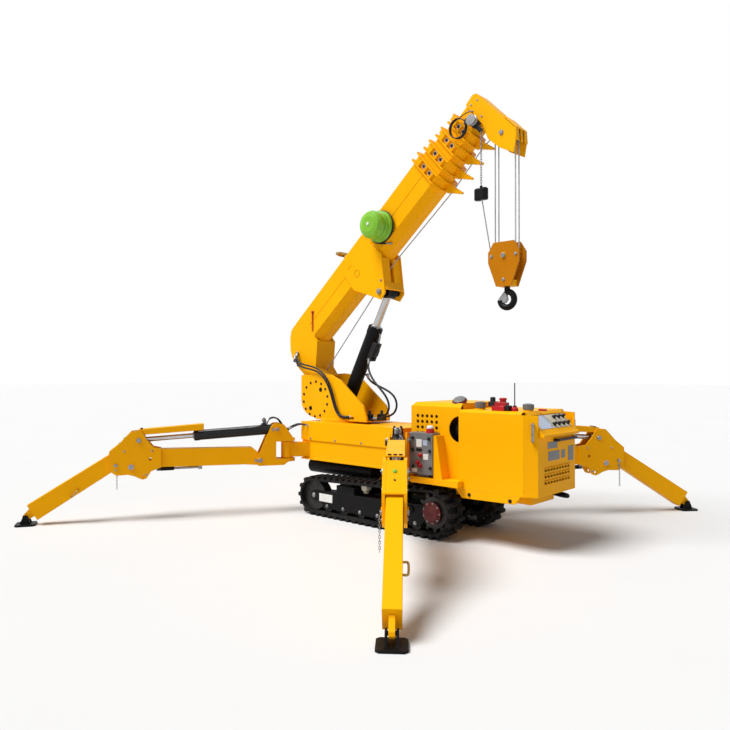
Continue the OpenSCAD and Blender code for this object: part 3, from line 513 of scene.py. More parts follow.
def paint_outrigger(leg):
    """Bare pins and a glossy cylinder."""
    steel = MATERIALS["bare_steel"]
    back = leg_frame(leg).inverted()
    paint_part("bracket_" + leg, steel, on_pins(back, [ARM_PIN, RAM_PIN], 0.03))
    paint_part("bracket_" + leg, steel, lambda c: math.hypot(*(back @ c).xy) < 0.0205)
    paint_part("arm_" + leg, steel, on_pins(back, [LOCK_PIN], 0.02))
    paint_part("leg_" + leg, steel, on_pins(back, [KNEE_PIN], 0.03))
    paint_part("ram_" + leg, GLOSS_BLACK)


def paint_crane():
    """Pins of the boom, its cylinder and the winch, track wheels, and the hook block's plates in painted
    shade.
    """
    steel = MATERIALS["bare_steel"]
    yellow = MATERIALS["yellow_paint"]
    boom_back = BOOM.inverted()
    paint_part("boom_base", steel, lambda c: abs(c.y) < TURRET_FACE - FLUSH
               and math.hypot((boom_back @ c).x, (boom_back @ c).z) < 0.033)
    paint_part("boom_base", steel, lambda c: abs(c.y) > GUSSET_FACE + PROUD
               and (boom_back @ c - LIFT_PIN).xz.length < 0.03)
    paint_part("lift_barrel", steel, lambda c: (c - LIFT_FOOT).xz.length < 0.027)
    paint_part("lift_barrel", yellow, lambda c: abs(c.y) > TURRET_FACE - FLUSH)
    paint_part("winch", yellow, lambda c: abs(c.y) > TURRET_FACE - FLUSH)
    paint_part("track_wheels", IRON)
    paint_part("lift_rod", MATERIALS["black_paint"], lambda c: (c - LIFT_EYE).xz.length < 0.053)
    pin = block_pin()
    # The hook block's side plates take the darker copy of the yellow enamel, as painted shade.
    paint_part("hook_block", SHADED_YELLOW, lambda c: abs(c.y) > 0.043 and (c - pin).xz.length > 0.026)


# Turret and winch

WINCH = Vector((-0.673, 0, 1.029))
WINCH_BOLTS = 14
WINCH_BOLT_RING = 0.165
MANIFOLD_Z = 0.85
VALVE_TOP = 0.905


def make_turret():
    """Bolts and plugs on the plates, and valves on the floor."""
    bm = bmesh.new()
    dark = bmesh.new()
    for side in (-1, 1):
        out = Vector((0, side, 0))
        for x, z in around(WINCH_BOLTS, WINCH_BOLT_RING, 0.4):
            bolt(bm, WINCH + Vector((x, side * TURRET_FACE, z)), out, 0.0085)
        for x, z in ((-0.602, 1.119), (-0.74, 0.941)):
            spin(dark, [(0.021, -0.001), (0.021, 0.0015), (0.017, 0.0015), (0.014, 0.0006)],
                 (x, side * TURRET_FACE, z), out, 20)
    piece("turret_bolts", bm, "turret", "black_plastic")
    # The plugs' near-black finish is painted shade of a recess.
    piece("turret_plugs", dark, "turret", "black_plastic", RECESS_SHADE)

    bm = bmesh.new()
    for x, y, wide in ((-0.12, -0.055, 0.05), (-0.06, 0.03, 0.06)):
        block(bm, (x, y, MANIFOLD_Z), (x + wide, y + wide, VALVE_TOP))
        spin(bm, [(0.014, 0), (0.014, 0.03), (0.01, 0.036)],
             (x + wide / 2, y + wide / 2, VALVE_TOP - 0.002), UP, 6)
    block(bm, (-0.16, -0.1, MANIFOLD_Z), (0.0, 0.1, MANIFOLD_Z + 0.012))
    piece("turret_manifold", bm, "turret", "black_plastic", bevel=0.003)


# Rope on the drum and along the boom

ROPE_R = 0.005
DRUM_ROPE_R = 0.0893
DRUM_ROPE_HALF = 0.118
DRUM_TURNS = 16
DRUM_STEPS = 18
PIVOT_BEND_R = 0.038
HORN_RISE = 0.196
HORN_BACK = 0.02


def make_drum_rope():
    """Rope on the winch drum, and from there to the boom's pivot."""
    steps = DRUM_TURNS * DRUM_STEPS
    path = []
    for i in range(steps + 1):
        a = 2 * math.pi * i / DRUM_STEPS
        y = -DRUM_ROPE_HALF + 2 * DRUM_ROPE_HALF * i / steps
        path.append(WINCH + Vector((DRUM_ROPE_R * math.cos(a), y, DRUM_ROPE_R * math.sin(a))))
    single("rope_on_drum", tube, (path, ROPE_R, 6), "turret", "rope_steel")

    luff = pin_of("luff")
    arc = [Vector((luff.x + PIVOT_BEND_R * math.cos(a), 0, luff.z + PIVOT_BEND_R * math.sin(a)))
           for a in map(math.radians, (172, 150, 128, 110))]
    single("hoist_rope_foot", tube, ([WINCH + Vector((-DRUM_ROPE_R, 0, 0.006)), *arc], ROPE_R, 8),
           "turret", "rope_steel")


def make_boom_ropes():
    """The hoist rope under the boom, in spans between the sections; the first rides the boom, the rest are
    fixed.
    """
    horns = [(SECTION_FRONT + COLLAR_STEP * i - HORN_BACK, HORN_RISE + SHELL_STEP * i) for i in range(4)]
    under_base = [(0.0, 0.04), (0.95, 0.159), (1.06, 0.196), (1.16, 0.2), (1.35, 0.21), horns[0]]
    spans = [under_base, *zip(horns, horns[1:]), (horns[3], (2.735, 0.212))]
    for i, span in enumerate(spans):
        path = [boom_at(a, 0.0, b) for a, b in span]
        rope = single(f"hoist_rope_{i + 1}", tube, (path, ROPE_R, 8), None if i else "boom", "rope_steel")
        if i:
            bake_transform(rope)


# Hoses of the turret and the lift cylinder

BOOM_HOSE_R = 0.0088
LIFT_HOSE_R = 0.0095
# Each: its Y, its port along the barrel, a span that is not used, its route in X and Z
LIFT_HOSES = (
    (-0.03, 0.575, ((-0.1, 0, 1.12), (-0.2, 0, 1.32)),
     [(-0.055, 1.29), (-0.02, 1.22), (0.05, 1.165), (0.13, 1.12), (0.2, 1.05), (0.228, 0.97),
      (0.19, 0.9), (0.1, 0.866)]),
    (0.03, 0.42, ((0.06, 0, 1.08), (-0.15, 0, 1.2)),
     [(-0.15, 1.19), (-0.09, 1.145), (0.0, 1.125), (0.08, 1.1), (0.13, 1.04), (0.14, 0.96),
      (0.1, 0.895), (0.03, 0.866)]),
)


def make_boom_hoses():
    """Two hoses from the boom's foot to the turret's floor."""
    for i, shift in enumerate((0.0, 0.03)):
        y = -0.176 - shift * 0.3
        hose(f"boom_hose_{i + 1}", [
            (-0.985 + shift, -0.14, 1.435 + shift), (-0.955 + shift, y, 1.385 + shift),
            (-0.88, y, 1.34 + shift), (-0.78, y, 1.315 + shift), (-0.66, y - 0.012, 1.31 + shift),
            (-0.55, y - 0.014, 1.27 + shift), (-0.475 + shift, y - 0.01, 1.18 + shift),
            (-0.435 + shift, y - 0.004, 1.06), (-0.4 + shift, y, 0.95), (-0.36 + shift, y, 0.885),
            (-0.3 + shift, y, 0.865 + shift * 0.4), (-0.225, -0.17, 0.87 + shift * 0.4),
            (-0.2, -0.135, 0.885)],
            BOOM_HOSE_R, "turret", "boom")


def make_lift_hoses():
    """Two hoses from the cylinder's valve to the turret's floor."""
    for i, (y, port, span, bend) in enumerate(LIFT_HOSES):
        ends = [LIFT @ Vector((port, y, -0.084)), LIFT @ Vector((port - 0.06, y * 1.6, -0.088))]
        loop = [(x, y * (2.4 if k < 1 else 3.3), z) for k, (x, z) in enumerate(bend)]
        hose(f"lift_hose_{i + 1}", [*ends, *loop, (bend[-1][0] - 0.1, y * 2.4, 0.868)],
             LIFT_HOSE_R, "turret", "lift_barrel", passes=90)


# Trim of the lift cylinder

LIFT_R = 0.064


def make_lift_trim():
    """Valve block, gland and pipe on the lift cylinder."""
    bm = bmesh.new()
    block(bm, (0.575, -0.036, -0.108), (0.75, 0.036, -LIFT_R + 0.012), LIFT)
    block(bm, (0.63, -0.028, -0.12), (0.69, 0.028, -0.106), LIFT)
    for a in (0.6, 0.73):
        spin(bm, [(0.016, 0), (0.016, 0.016), (0.011, 0.022)], LIFT @ Vector((a, 0, -0.104)),
             LIFT.to_3x3() @ Vector((0, 0, -1)), 6)
    piece("lift_valve", bm, "lift_barrel", "black_plastic", bevel=0.004)
    bm = bmesh.new()
    along = LIFT.to_3x3() @ Vector((1, 0, 0))
    spin(bm, [(0.046, 0.868), (0.046, 0.882), (0.04, 0.888), (0.0345, 0.888)], LIFT_FOOT, along, 32)
    for y, z in around(6, 0.054):
        bolt(bm, LIFT @ Vector((0.871, y, z)), along, 0.006)
    piece("lift_gland", bm, "lift_barrel", "bare_steel")
    route = ((0.74, 0, -0.09), (0.78, 0, -0.09), (0.815, 0, -0.082), (0.83, 0, -0.064))
    single("lift_pipe", tube, (through([LIFT @ Vector(p) for p in route]), 0.008, 8),
           "lift_barrel", "bare_steel")


# Boom details

def make_boom_welds():
    """Pins, bolts, seams and gusset web of the base section."""
    bm = bmesh.new()
    for side in (-1, 1):
        out = Vector((0, side, 0))
        pin_cap(bm, boom_at(LIFT_PIN.x, side * (GUSSET_FACE + 0.010), LIFT_PIN.z), out, 0.022)
        bolt(bm, boom_at(1.19, side * GUSSET_FACE, 0.115), out, 0.008)
    piece("boom_bolts", bm, "boom", "bare_steel")

    bm = bmesh.new()
    seams = ((BOOM_HALF - 0.001, 0.336, (0.26, 0.6, 0.9), 0.005), (0.0528, 0.277, (0.26, 0.6, 0.9), 0.004),
             (BOOM_HALF - 0.001, 0.456, (0.26, 1.2, 2.085), 0.004))
    for side in (-1, 1):
        for y, b, stops, radius in seams:
            tube(bm, [boom_at(a, side * y, b) for a in stops], radius, 6)
        plate = side * GUSSET_FACE
        spin(bm, [(0.034, 0), (0.034, 0.003), (0.026, 0.003), (0.026, 0.0005)],
             boom_at(1.032, plate, 0.37), (0, side, 0), 32)
        block(bm, (0.975, plate - 0.002, 0.475), (1.03, plate + 0.002, 0.505), BOOM)
    piece("boom_welds", bm, "boom", "yellow_paint")

    bm = bmesh.new()
    for side in (-1, 1):
        slab(bm, [(1.178, 0.076), (1.19, 0.07), (1.325, 0.272), (1.31, 0.276)],
             *sorted((side * 0.022, side * GUSSET_INSIDE)), BOOM)
    slab(bm, [(1.17, 0.022), (1.186, 0.018), (1.204, 0.09), (1.184, 0.086)],
         -GUSSET_INSIDE, GUSSET_INSIDE, BOOM)
    piece("gusset_web", bm, "boom", "yellow_paint", bevel=0.002)


POINTER = (0.375, 0.515)
UNION = (0.965, -0.03, 0.612)
REEL_WIRE_R = 0.0055


def make_boom_fittings():
    """Angle pointer, brass union and foot fitting."""
    bm = bmesh.new()
    a, b = POINTER
    spin(bm, [(0.013, 0), (0.013, 0.012), (0.009, 0.016)], boom_at(a, -BOOM_HALF, b), NEAR, 20)
    hang = boom_at(a, -BOOM_HALF - 0.01, b)
    slab(bm, [(-0.006, 0), (0.006, 0), (0.005, -0.17), (0, -0.19), (-0.005, -0.17)], -0.002, 0.002,
         Matrix.Translation(hang))
    piece("angle_pointer", bm, "boom", "black_plastic", BRIGHT_RED)

    bm = bmesh.new()
    foot = boom_at(*UNION)
    normal = BOOM.to_3x3() @ UP
    spin(bm, [(0.022, -0.002), (0.022, 0.044), (0.015, 0.05), (0.015, 0.11)], foot, normal, 6)
    spin(bm, [(0.025, -0.058), (0.025, 0.058), (0.018, 0.066), (0.018, 0.09)], foot + normal * 0.09, NEAR, 6)
    piece("boom_union", bm, "boom", "bare_steel", BRASS)

    bm = bmesh.new()
    spin(bm, [(0.018, 0), (0.018, 0.03), (0.013, 0.036), (0.013, 0.052)],
         boom_at(-0.09, -BOOM_HALF, 0.3), NEAR, 16)
    spin(bm, [(0.014, 0), (0.014, 0.028), (0.01, 0.034)], boom_at(-0.098, -BOOM_HALF, 0.25), NEAR, 6)
    piece("foot_fitting", bm, "boom", "black_plastic")


def make_reel_trim():
    """Mount, hub and wire of the cable reel."""
    bm = bmesh.new()
    spin(bm, [(0.142, 0.02), (0.142, 0.032), (0.137, 0.034)], boom_at(*REEL), NEAR, 48)
    block(bm, (1.42, -BOOM_HALF - 0.024, 0.41), (1.58, -BOOM_HALF, 0.5), BOOM)
    piece("reel_mount", bm, "boom", "black_plastic", bevel=0.002)
    single("reel_hub", spin, ([(0.014, 0.195), (0.014, 0.2), (0.01, 0.203)], boom_at(*REEL), NEAR, 24),
           "boom", "grey_panel", WHITE)
    route = ((1.37, -0.14, 0.53), (1.345, -0.142, 0.48), (1.352, -0.14, 0.42), (1.389, -0.138, 0.36),
             (1.43, -0.13, 0.325), (1.46, -0.1, 0.3))
    hose("reel_wire", [boom_at(*p) for p in route], REEL_WIRE_R, "boom")


def make_collar_bolts():
    """Pale pads and bolts on each collar."""
    for i, body in enumerate(("boom", "section_2", "section_3", "section_4")):
        half = BOOM_HALF - SHELL_STEP * i
        high = BOOM_HIGH - 2 * SHELL_STEP * i
        along = SECTION_FRONT + COLLAR_STEP * i - 0.042
        bm = bmesh.new()
        pale = bmesh.new()
        for side in (-1, 1):
            for part in (-0.11, 0.15):
                at = boom_at(along, side * (half + 0.004), BOOM_RISE + high * part)
                spin(pale, [(0.019, 0), (0.019, 0.004)], at, (0, side, 0), 20)
                bolt(bm, at + Vector((0, side * 0.004, 0)), (0, side, 0), 0.0095)
        piece(f"collar_pads_{i + 1}", pale, body, "grey_panel", WHITE)
        piece(f"collar_bolts_{i + 1}", bm, body, "black_plastic")


# Boom head, rope end weight and hook

FALL_Y = 0.026
FALL_ROOM = 0.014
SWITCH_FACE = -0.072
COIL_STEPS = 34
CABLE_R = 0.004
WEIGHT_Z = 2.615
ROPE_END = (1.186, -0.05)
LINK_PITCH = 0.02


def make_head_plates():
    """Pin caps, bolts, and the front plate with slots for the rope falls."""
    bm = bmesh.new()
    low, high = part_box("head_sheaves")
    middle = (low + high) / 2
    for side in (-1, 1):
        pin_cap(bm, middle + Vector((0, side * HEAD_FACE, 0)), (0, side, 0), 0.018)
        for a, b in ((2.725, 0.37), (2.725, 0.52), (2.785, 0.5)):
            bolt(bm, boom_at(a, side * HEAD_FACE, b), (0, side, 0), 0.006)
    piece("head_pin_caps", bm, "section_5", "bare_steel")

    bm = bmesh.new()
    slab(bm, [(2.8397, 0.21), (2.848, 0.212), (2.8565, 0.062), (2.8487, 0.06)], -HEAD_FACE, HEAD_FACE, BOOM)
    inner, outer = FALL_Y - FALL_ROOM, FALL_Y + FALL_ROOM
    for strip in ((-HEAD_FACE, -outer), (-inner, inner), (outer, HEAD_FACE)):
        slab(bm, [(2.8487, 0.064), (2.8565, 0.06), (2.797, -0.018), (2.79, -0.0125)], *strip, BOOM)
    piece("head_front", bm, "section_5", "yellow_paint", bevel=0.002)


def make_head_switch():
    """The limit switch, a guide wheel and the coiled cable."""
    bm = bmesh.new()
    block(bm, (2.625, SWITCH_FACE - 0.05, 0.34), (2.685, SWITCH_FACE + 0.002, 0.42), BOOM)
    block(bm, (2.64, SWITCH_FACE - 0.062, 0.26), (2.672, SWITCH_FACE - 0.03, 0.36), BOOM)
    piece("head_switch", bm, "section_5", "black_plastic", bevel=0.003)
    wheel = [(0.012, -0.004), (0.012, 0.004), (0.042, 0.008), (0.042, 0.014), (0.032, 0.02), (0.032, 0.034),
             (0.042, 0.04), (0.042, 0.046), (0.012, 0.048)]
    single("guide_wheel", spin, (wheel, boom_at(2.665, SWITCH_FACE - 0.05, 0.375), NEAR, 32),
           "section_5", "bare_steel")
    coil = []
    for i in range(COIL_STEPS):
        a = math.radians(60 + 30 * i)
        coil.append((2.546 + 0.078 * math.cos(a), -0.134 - 0.001 * i, 0.43 + 0.084 * math.sin(a)))
    route = [(2.7, -0.088, 0.47), (2.685, -0.12, 0.474), (2.642, -0.132, 0.484), *coil,
             (2.64, -0.15, 0.428), (2.634, -0.118, 0.458), (2.595, -0.078, 0.47)]
    hose("head_cable", [boom_at(*p) for p in route], CABLE_R, "section_5", passes=20)


def make_limit_weight():
    """The weight at the rope's end and the chain that holds it."""
    top = boom_at(2.656, -0.118, 0.262)
    bm = bmesh.new()
    for shift in (-0.028, 0.028):
        spin(bm, [(0.024, 0), (0.03, 0.006), (0.03, 0.084), (0.022, 0.092), (0.01, 0.096)],
             (top.x + shift, top.y, WEIGHT_Z), UP, 28)
    block(bm, (top.x - 0.03, top.y - 0.026, WEIGHT_Z + 0.008),
          (top.x + 0.03, top.y + 0.026, WEIGHT_Z + 0.082))
    spin(bm, [(0.012, 0.07), (0.012, 0.108), (0.008, 0.112)], (top.x, top.y, WEIGHT_Z), UP, 16)
    piece("limit_weight", bm, "hook_block", "black_paint", bevel=0.003)
    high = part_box("hook_block")[1]
    route = [(top.x + 0.004, top.y, WEIGHT_Z + 0.02), (*ROPE_END, high.z - 0.06)]
    single("rope_end", tube, (route, ROPE_R, 8), "hook_block", "rope_steel")
    low_end = Vector((top.x, top.y, WEIGHT_Z + 0.104))
    count = round((top.z + 0.01 - low_end.z) / LINK_PITCH)
    spots = [low_end.lerp(top + UP * 0.01, i / count) for i in range(count + 1)]
    links = single("limit_chain", chain, (spots, 0.008, 0.014, 0.0022, 12, 6), None, "bare_steel")
    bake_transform(links)


def make_hook_trim():
    """Bolts of the hook block, and the hook's latch."""
    bm = bmesh.new()
    for side in (-1, 1):
        spot = block_pin() + Vector((0, side * 0.056, 0))
        for x, z in ((-0.105, 0.0), (0.105, 0.0), (0.0, -0.185)):
            bolt(bm, spot + Vector((x, 0, z)), (0, side, 0), 0.009)
        pin_cap(bm, spot + Vector((0, side * 0.004, 0)), (0, side, 0), 0.02)
    piece("block_bolts", bm, "hook_block", "bare_steel")
    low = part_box("hook")[0]
    outline = [(-0.078, -0.002), (-0.05, -0.022), (-0.012, -0.026), (0.008, 0.0), (-0.002, 0.042),
               (-0.024, 0.062)]
    place = Matrix.Translation((pin_of("hook_swivel").x, 0, low.z + 0.084))
    single("hook_latch", slab, (outline, -0.013, 0.013, place), "hook", "bare_steel", bevel=0.002)


# Engine hood

HOOD_HALF = 0.330
SEAM = 1.080
ROOF = 1.004
REAR = 1.7145
CAPS = ((SEAM + 0.1, -0.185, 0.052), (1.565, -0.15, 0.046))
FLUTES = 24


def make_roof_caps():
    """Flutes and collars of the two caps, and the filler cap."""
    bm = bmesh.new()
    for x, y, h in CAPS:
        for u, v in around(FLUTES, 0.0378):
            spot = Vector((x + u, y + v, ROOF + 0.016))
            tube(bm, [spot, spot + UP * (h - 0.012)], 0.0032, 6)
        spin(bm, [(0.036, 0), (0.034, 0.006), (0.02, 0.011)], (x, y, ROOF + h - 0.0005), UP, 32)
    piece("cap_flutes", bm, "base", "grey_panel")

    bm = bmesh.new()
    for x, y, _ in CAPS:
        spin(bm, [(0.04, -0.001), (0.04, 0.004), (0.03, 0.012), (0.027, 0.014)], (x, y, ROOF), UP, 32)
    piece("cap_collars", bm, "base", "yellow_paint")

    at = Vector((SEAM - 0.065, -0.215, 1.048))
    tilt = Vector((0.1, -0.55, 1)).normalized()
    cap = [(0.05, 0.004), (0.058, 0.012), (0.058, 0.022), (0.046, 0.032)]
    single("filler_cap", spin, (cap, at, tilt, 40), "base", "red_paint")
    single("filler_rim", spin, ([(0.046, 0.03), (0.047, 0.036), (0.036, 0.041)], at, tilt, 40),
           "base", "grey_panel")


def make_stop_valve():
    """The red valve with its solenoids, and the aerial's base."""
    bm = bmesh.new()
    at = Vector((1.375, -0.225, ROOF))
    place = Matrix.Translation(at)
    block(bm, (-0.05, -0.04, 0.0), (0.055, 0.04, 0.036), place)
    block(bm, (-0.03, -0.03, 0.033), (0.06, 0.03, 0.062), place)
    spin(bm, [(0.024, 0), (0.024, 0.02), (0.03, 0.024), (0.03, 0.03), (0.02, 0.036)],
         at + Vector((0.025, 0, 0.06)), UP, 24)
    piece("stop_valve", bm, "base", "red_paint", BRIGHT_RED, bevel=0.006)
    bm = bmesh.new()
    block(bm, (-0.085, -0.03, 0.03), (-0.025, 0.02, 0.066), place)
    block(bm, (0.05, -0.03, 0.0), (0.085, 0.03, 0.04), place)
    spin(bm, [(0.02, 0), (0.02, 0.03), (0.014, 0.036)], at + Vector((-0.055, -0.01, 0.064)), UP, 20)
    piece("valve_solenoids", bm, "base", "black_plastic", bevel=0.004)

    bm = bmesh.new()
    spin(bm, [(0.026, 0), (0.026, 0.02), (0.018, 0.03), (0.015, 0.032)], (1.482, -0.2, ROOF - 0.0005), UP, 24)
    block(bm, (1.62, -0.11, ROOF + 0.004), (1.68, -0.085, ROOF + 0.018))
    piece("aerial_base", bm, "base", "red_paint", BRIGHT_RED, bevel=0.003)


CONSOLE_TOP = Vector((1.612, 0, 1.006))
CONSOLE_NOSE = Vector((1.742, 0, 0.858))
KNOB_ROWS = (-0.032, 0.03)
BAR = (1.744, 0.8)
REAR_PLATES = (((-0.15, 0.742), (0.0, 0.79)), ((0.06, 0.66), (0.12, 0.72)), ((0.17, 0.63), (0.255, 0.74)),
               ((-0.14, 0.655), (0.03, 0.722)))


def make_console_face():
    """Screen, panel and knobs on the slope, the bar and the blank plates."""
    middle = (CONSOLE_TOP + CONSOLE_NOSE) / 2
    slope = math.atan2(CONSOLE_TOP.z - CONSOLE_NOSE.z, CONSOLE_NOSE.x - CONSOLE_TOP.x)
    face = Matrix.Translation(middle) @ Matrix.Rotation(slope, 4, "Y")
    single("console_screen", block, ((-0.06, -0.235, -0.0055), (0.06, -0.055, -0.001), face),
           "base", "grey_panel", SCREEN, bevel=0.002)
    single("console_panel", block, ((-0.06, -0.05, -0.0055), (0.06, 0.235, -0.002), face),
           "base", "grey_panel", PALE, bevel=0.002)
    bm = bmesh.new()
    normal = face.to_3x3() @ UP
    for i, y in enumerate((-0.01, 0.06, 0.13, 0.2)):
        for u in KNOB_ROWS:
            if (i, u) != (0, KNOB_ROWS[0]):
                spin(bm, [(0.017, -0.003), (0.017, 0.003), (0.011, 0.005), (0.011, 0.02), (0.008, 0.024)],
                     face @ Vector((u, y, 0)), normal, 20)
    piece("console_knobs", bm, "base", "black_plastic")
    bar_x, bar_z = BAR
    grip = [(bar_x, y, bar_z) for y in (-0.045, 0.0, 0.12, 0.225, 0.245)]
    route = [(1.716, -0.05, bar_z), *grip, (1.716, 0.25, bar_z)]
    single("console_bar", tube, (through(route), 0.011, 10), "base", "black_plastic")
    bm = bmesh.new()
    for low, high in REAR_PLATES:
        block(bm, (REAR, *low), (REAR + 0.0025, *high))
    piece("rear_plates", bm, "base", "grey_panel", bevel=0.0008)


def make_hood_sides():
    """Bolts, handles, the drum in the round opening, grille lips and tow loop."""
    bm = bmesh.new()
    for x, z in ((1.174, 0.375), (1.518, 0.372)):
        for side in (-1, 1):
            bolt(bm, (x, side * HOOD_HALF, z), (0, side, 0), 0.01)
    piece("hood_bolts", bm, "base", "black_plastic")

    bm = bmesh.new()
    for side in (-1, 1):
        a = Vector((1.683, side * 0.302, 0.925))
        b = Vector((1.683, side * 0.302, 0.805))
        out = Vector((0.45, side * 0.9, 0)).normalized() * 0.022
        tube(bm, through([a - out * 0.2, a + out * 0.8, a + out - UP * 0.014, b + out + UP * 0.014,
                          b + out * 0.8, b - out * 0.2], 4), 0.01, 8)
    piece("corner_handles", bm, "base", "bare_steel")

    bm = bmesh.new()
    for side in (-1, 1):
        for r0, r1, y in ((0.088, 0.088, 0.235), (0.06, 0.05, 0.262)):
            spin(bm, [(r0, -0.05), (r0, 0.0), (r1 * 0.9, 0.008), (r1 * 0.55, 0.008), (r1 * 0.5, 0.002)],
                 (SEAM - 0.012, side * y, 0.852), (0, side, 0), 36)
    piece("intake_drum", bm, "base", "black_plastic")

    bm = bmesh.new()
    for row in range(3):
        for i in range(-4, 5):
            y = i * 0.044
            z = 0.494 + row * 0.045
            slab(bm, [(1.7152, z + 0.0285), (1.7205, z + 0.0275), (1.7215, z + 0.019), (1.7152, z + 0.014)],
                 y - 0.017, y + 0.017)
    piece("grille_lips", bm, "base", "yellow_paint", bevel=0.001)

    route = [(1.6, 0.19, 0.38), (1.69, 0.19, 0.37), (1.715, 0.16, 0.365), (1.69, 0.13, 0.37),
             (1.6, 0.13, 0.38)]
    single("tow_loop", tube, (through(route), 0.013, 10), "base", "black_paint")


# Control box

BOX_FACE = -0.404


def box_plate(bm, low, high, proud):
    """A plate on the box's face, by its corners in X and Z."""
    block(bm, (low[0], BOX_FACE - proud, low[1]), (high[0], BOX_FACE + 0.002, high[1]))


def make_control_box():
    """Everything on the control box, and its stop button."""
    bm = bmesh.new()
    for x, z in ((0.858, 0.775), (0.865, 0.68), (0.87, 0.55), (0.70, 0.775), (0.70, 0.68), (0.70, 0.55)):
        spin(bm, [(0.014, -0.001), (0.014, 0.004), (0.009, 0.006), (0.006, 0.02), (0.004, 0.024)],
             (x, BOX_FACE, z), NEAR, 18)
    box_plate(bm, (0.735, 0.675), (0.79, 0.695), 0.004)
    piece("box_switches", bm, "base", "black_plastic", bevel=0.001)
    bm = bmesh.new()
    for x, z in ((0.775, 0.644), (0.775, 0.562), (0.752, 0.585)):
        spin(bm, [(0.018, -0.001), (0.018, 0.006), (0.014, 0.008), (0.014, 0.018), (0.01, 0.022)],
             (x, BOX_FACE, z), NEAR, 20)
    piece("box_buttons", bm, "base", "red_paint", BRIGHT_RED)
    bm = bmesh.new()
    box_plate(bm, (0.735, 0.705), (0.788, 0.765), 0.003)
    box_plate(bm, (0.802, 0.61), (0.85, 0.655), 0.003)
    box_plate(bm, (0.69, 0.51), (0.74, 0.54), 0.003)
    piece("box_plates", bm, "base", "grey_panel", WHITE, bevel=0.001)
    single("box_display", box_plate, ((0.798, 0.72), (0.84, 0.76), 0.002),
           "base", "black_plastic", SCREEN, bevel=0.001)
    bm = bmesh.new()
    for x in (0.672, 0.88):
        for z in (0.506, 0.805):
            bolt(bm, (x, BOX_FACE, z), NEAR, 0.005)
    piece("box_screws", bm, "base", "bare_steel")
    at = Vector((0.832, -0.356, 0.8145))
    single("stop_button", spin, ([(0.034, 0), (0.034, 0.016), (0.03, 0.022), (0.03, 0.036)], at, UP, 28),
           "base", "red_paint", BRIGHT_RED)
    single("stop_button_top", spin, ([(0.03, 0.0355), (0.028, 0.05), (0.018, 0.058)], at, UP, 28),
           "base", "grey_panel", WHITE)


# Undercarriage

DRIVE = (0.860, 0.2)
DRIVE_FACE = 0.380
DRIVE_BOLTS = 9
DRIVE_BOLT_RING = 0.074
IDLER = (-0.472, 0.174)
TRACK_FACE = 0.366
ROLLERS = 6
ROLLER_FIRST = -0.302
ROLLER_PITCH = 0.1984
ROLLER_Z = 0.0963
CARRIER_Y = 0.3
FRAME_HALF = 0.270


def make_track_trim():
    """Bolts, carrier rollers and blank plates of the tracks."""
    bm = bmesh.new()
    for side in (-1, 1):
        out = (0, side, 0)
        for x, z in around(DRIVE_BOLTS, DRIVE_BOLT_RING):
            bolt(bm, (DRIVE[0] + x, side * DRIVE_FACE, DRIVE[1] + z), out, 0.006)
        spin(bm, [(0.02, 0), (0.02, 0.006), (0.012, 0.012)], (IDLER[0], side * TRACK_FACE, IDLER[1]), out, 24)
        for i in range(ROLLERS):
            bolt(bm, (ROLLER_FIRST + i * ROLLER_PITCH, side * TRACK_FACE, ROLLER_Z), out, 0.011)
    piece("track_bolts", bm, "base", "bare_steel")

    bm = bmesh.new()
    for side in (-1, 1):
        for x in (0.11, 0.47):
            y = side * CARRIER_Y
            spin(bm, [(0.03, -0.03), (0.034, -0.02), (0.034, 0.02), (0.03, 0.03)], (x, y, 0.3), (0, 1, 0), 28)
            block(bm, (x - 0.02, y - 0.012, 0.25), (x + 0.02, y + 0.012, 0.29))
    piece("carrier_rollers", bm, "base", "bare_steel", PALE)

    plates = ((-0.4, TRACK_FACE - 0.0005, 0.13), (-0.235, TRACK_FACE + 0.003, 0.2))
    single("blank_plates", side_blocks, plates, "base", "grey_panel", WHITE, bevel=0.001)


def make_frame_trim():
    """Bolts, boxes and tube plugs of the main frame."""
    bm = bmesh.new()
    for side in (-1, 1):
        for x in (-0.62, -0.3, 0.02, 0.34):
            bolt(bm, (x, side * FRAME_HALF, 0.668), (0, side, 0), 0.007)
    piece("frame_bolts", bm, "base", "bare_steel")

    boxes = ((0.31, FRAME_HALF - 0.0005, 0.67), (0.37, FRAME_HALF + 0.02, 0.72))
    single("frame_boxes", side_blocks, boxes, "base", "black_plastic", bevel=0.003)
    bm = bmesh.new()
    for side in (-1, 1):
        spin(bm, [(0.02, 0), (0.02, 0.004), (0.014, 0.007)], (-0.7335, side * 0.14, 0.39), (-1, 0, 0), 20)
    piece("tube_plugs", bm, "base", "red_paint")


# Outriggers

CHAIN_LINKS = 13
CHAIN_PITCH = 0.016
HANDLE = (Vector((1.803, 0.051, 0.283)), Vector((1.853, 0.051, 0.231)), Vector((0, 0.022, 0)))
FRAME_HOSE_R = 0.0068
RAM_HOSE_R = 0.007


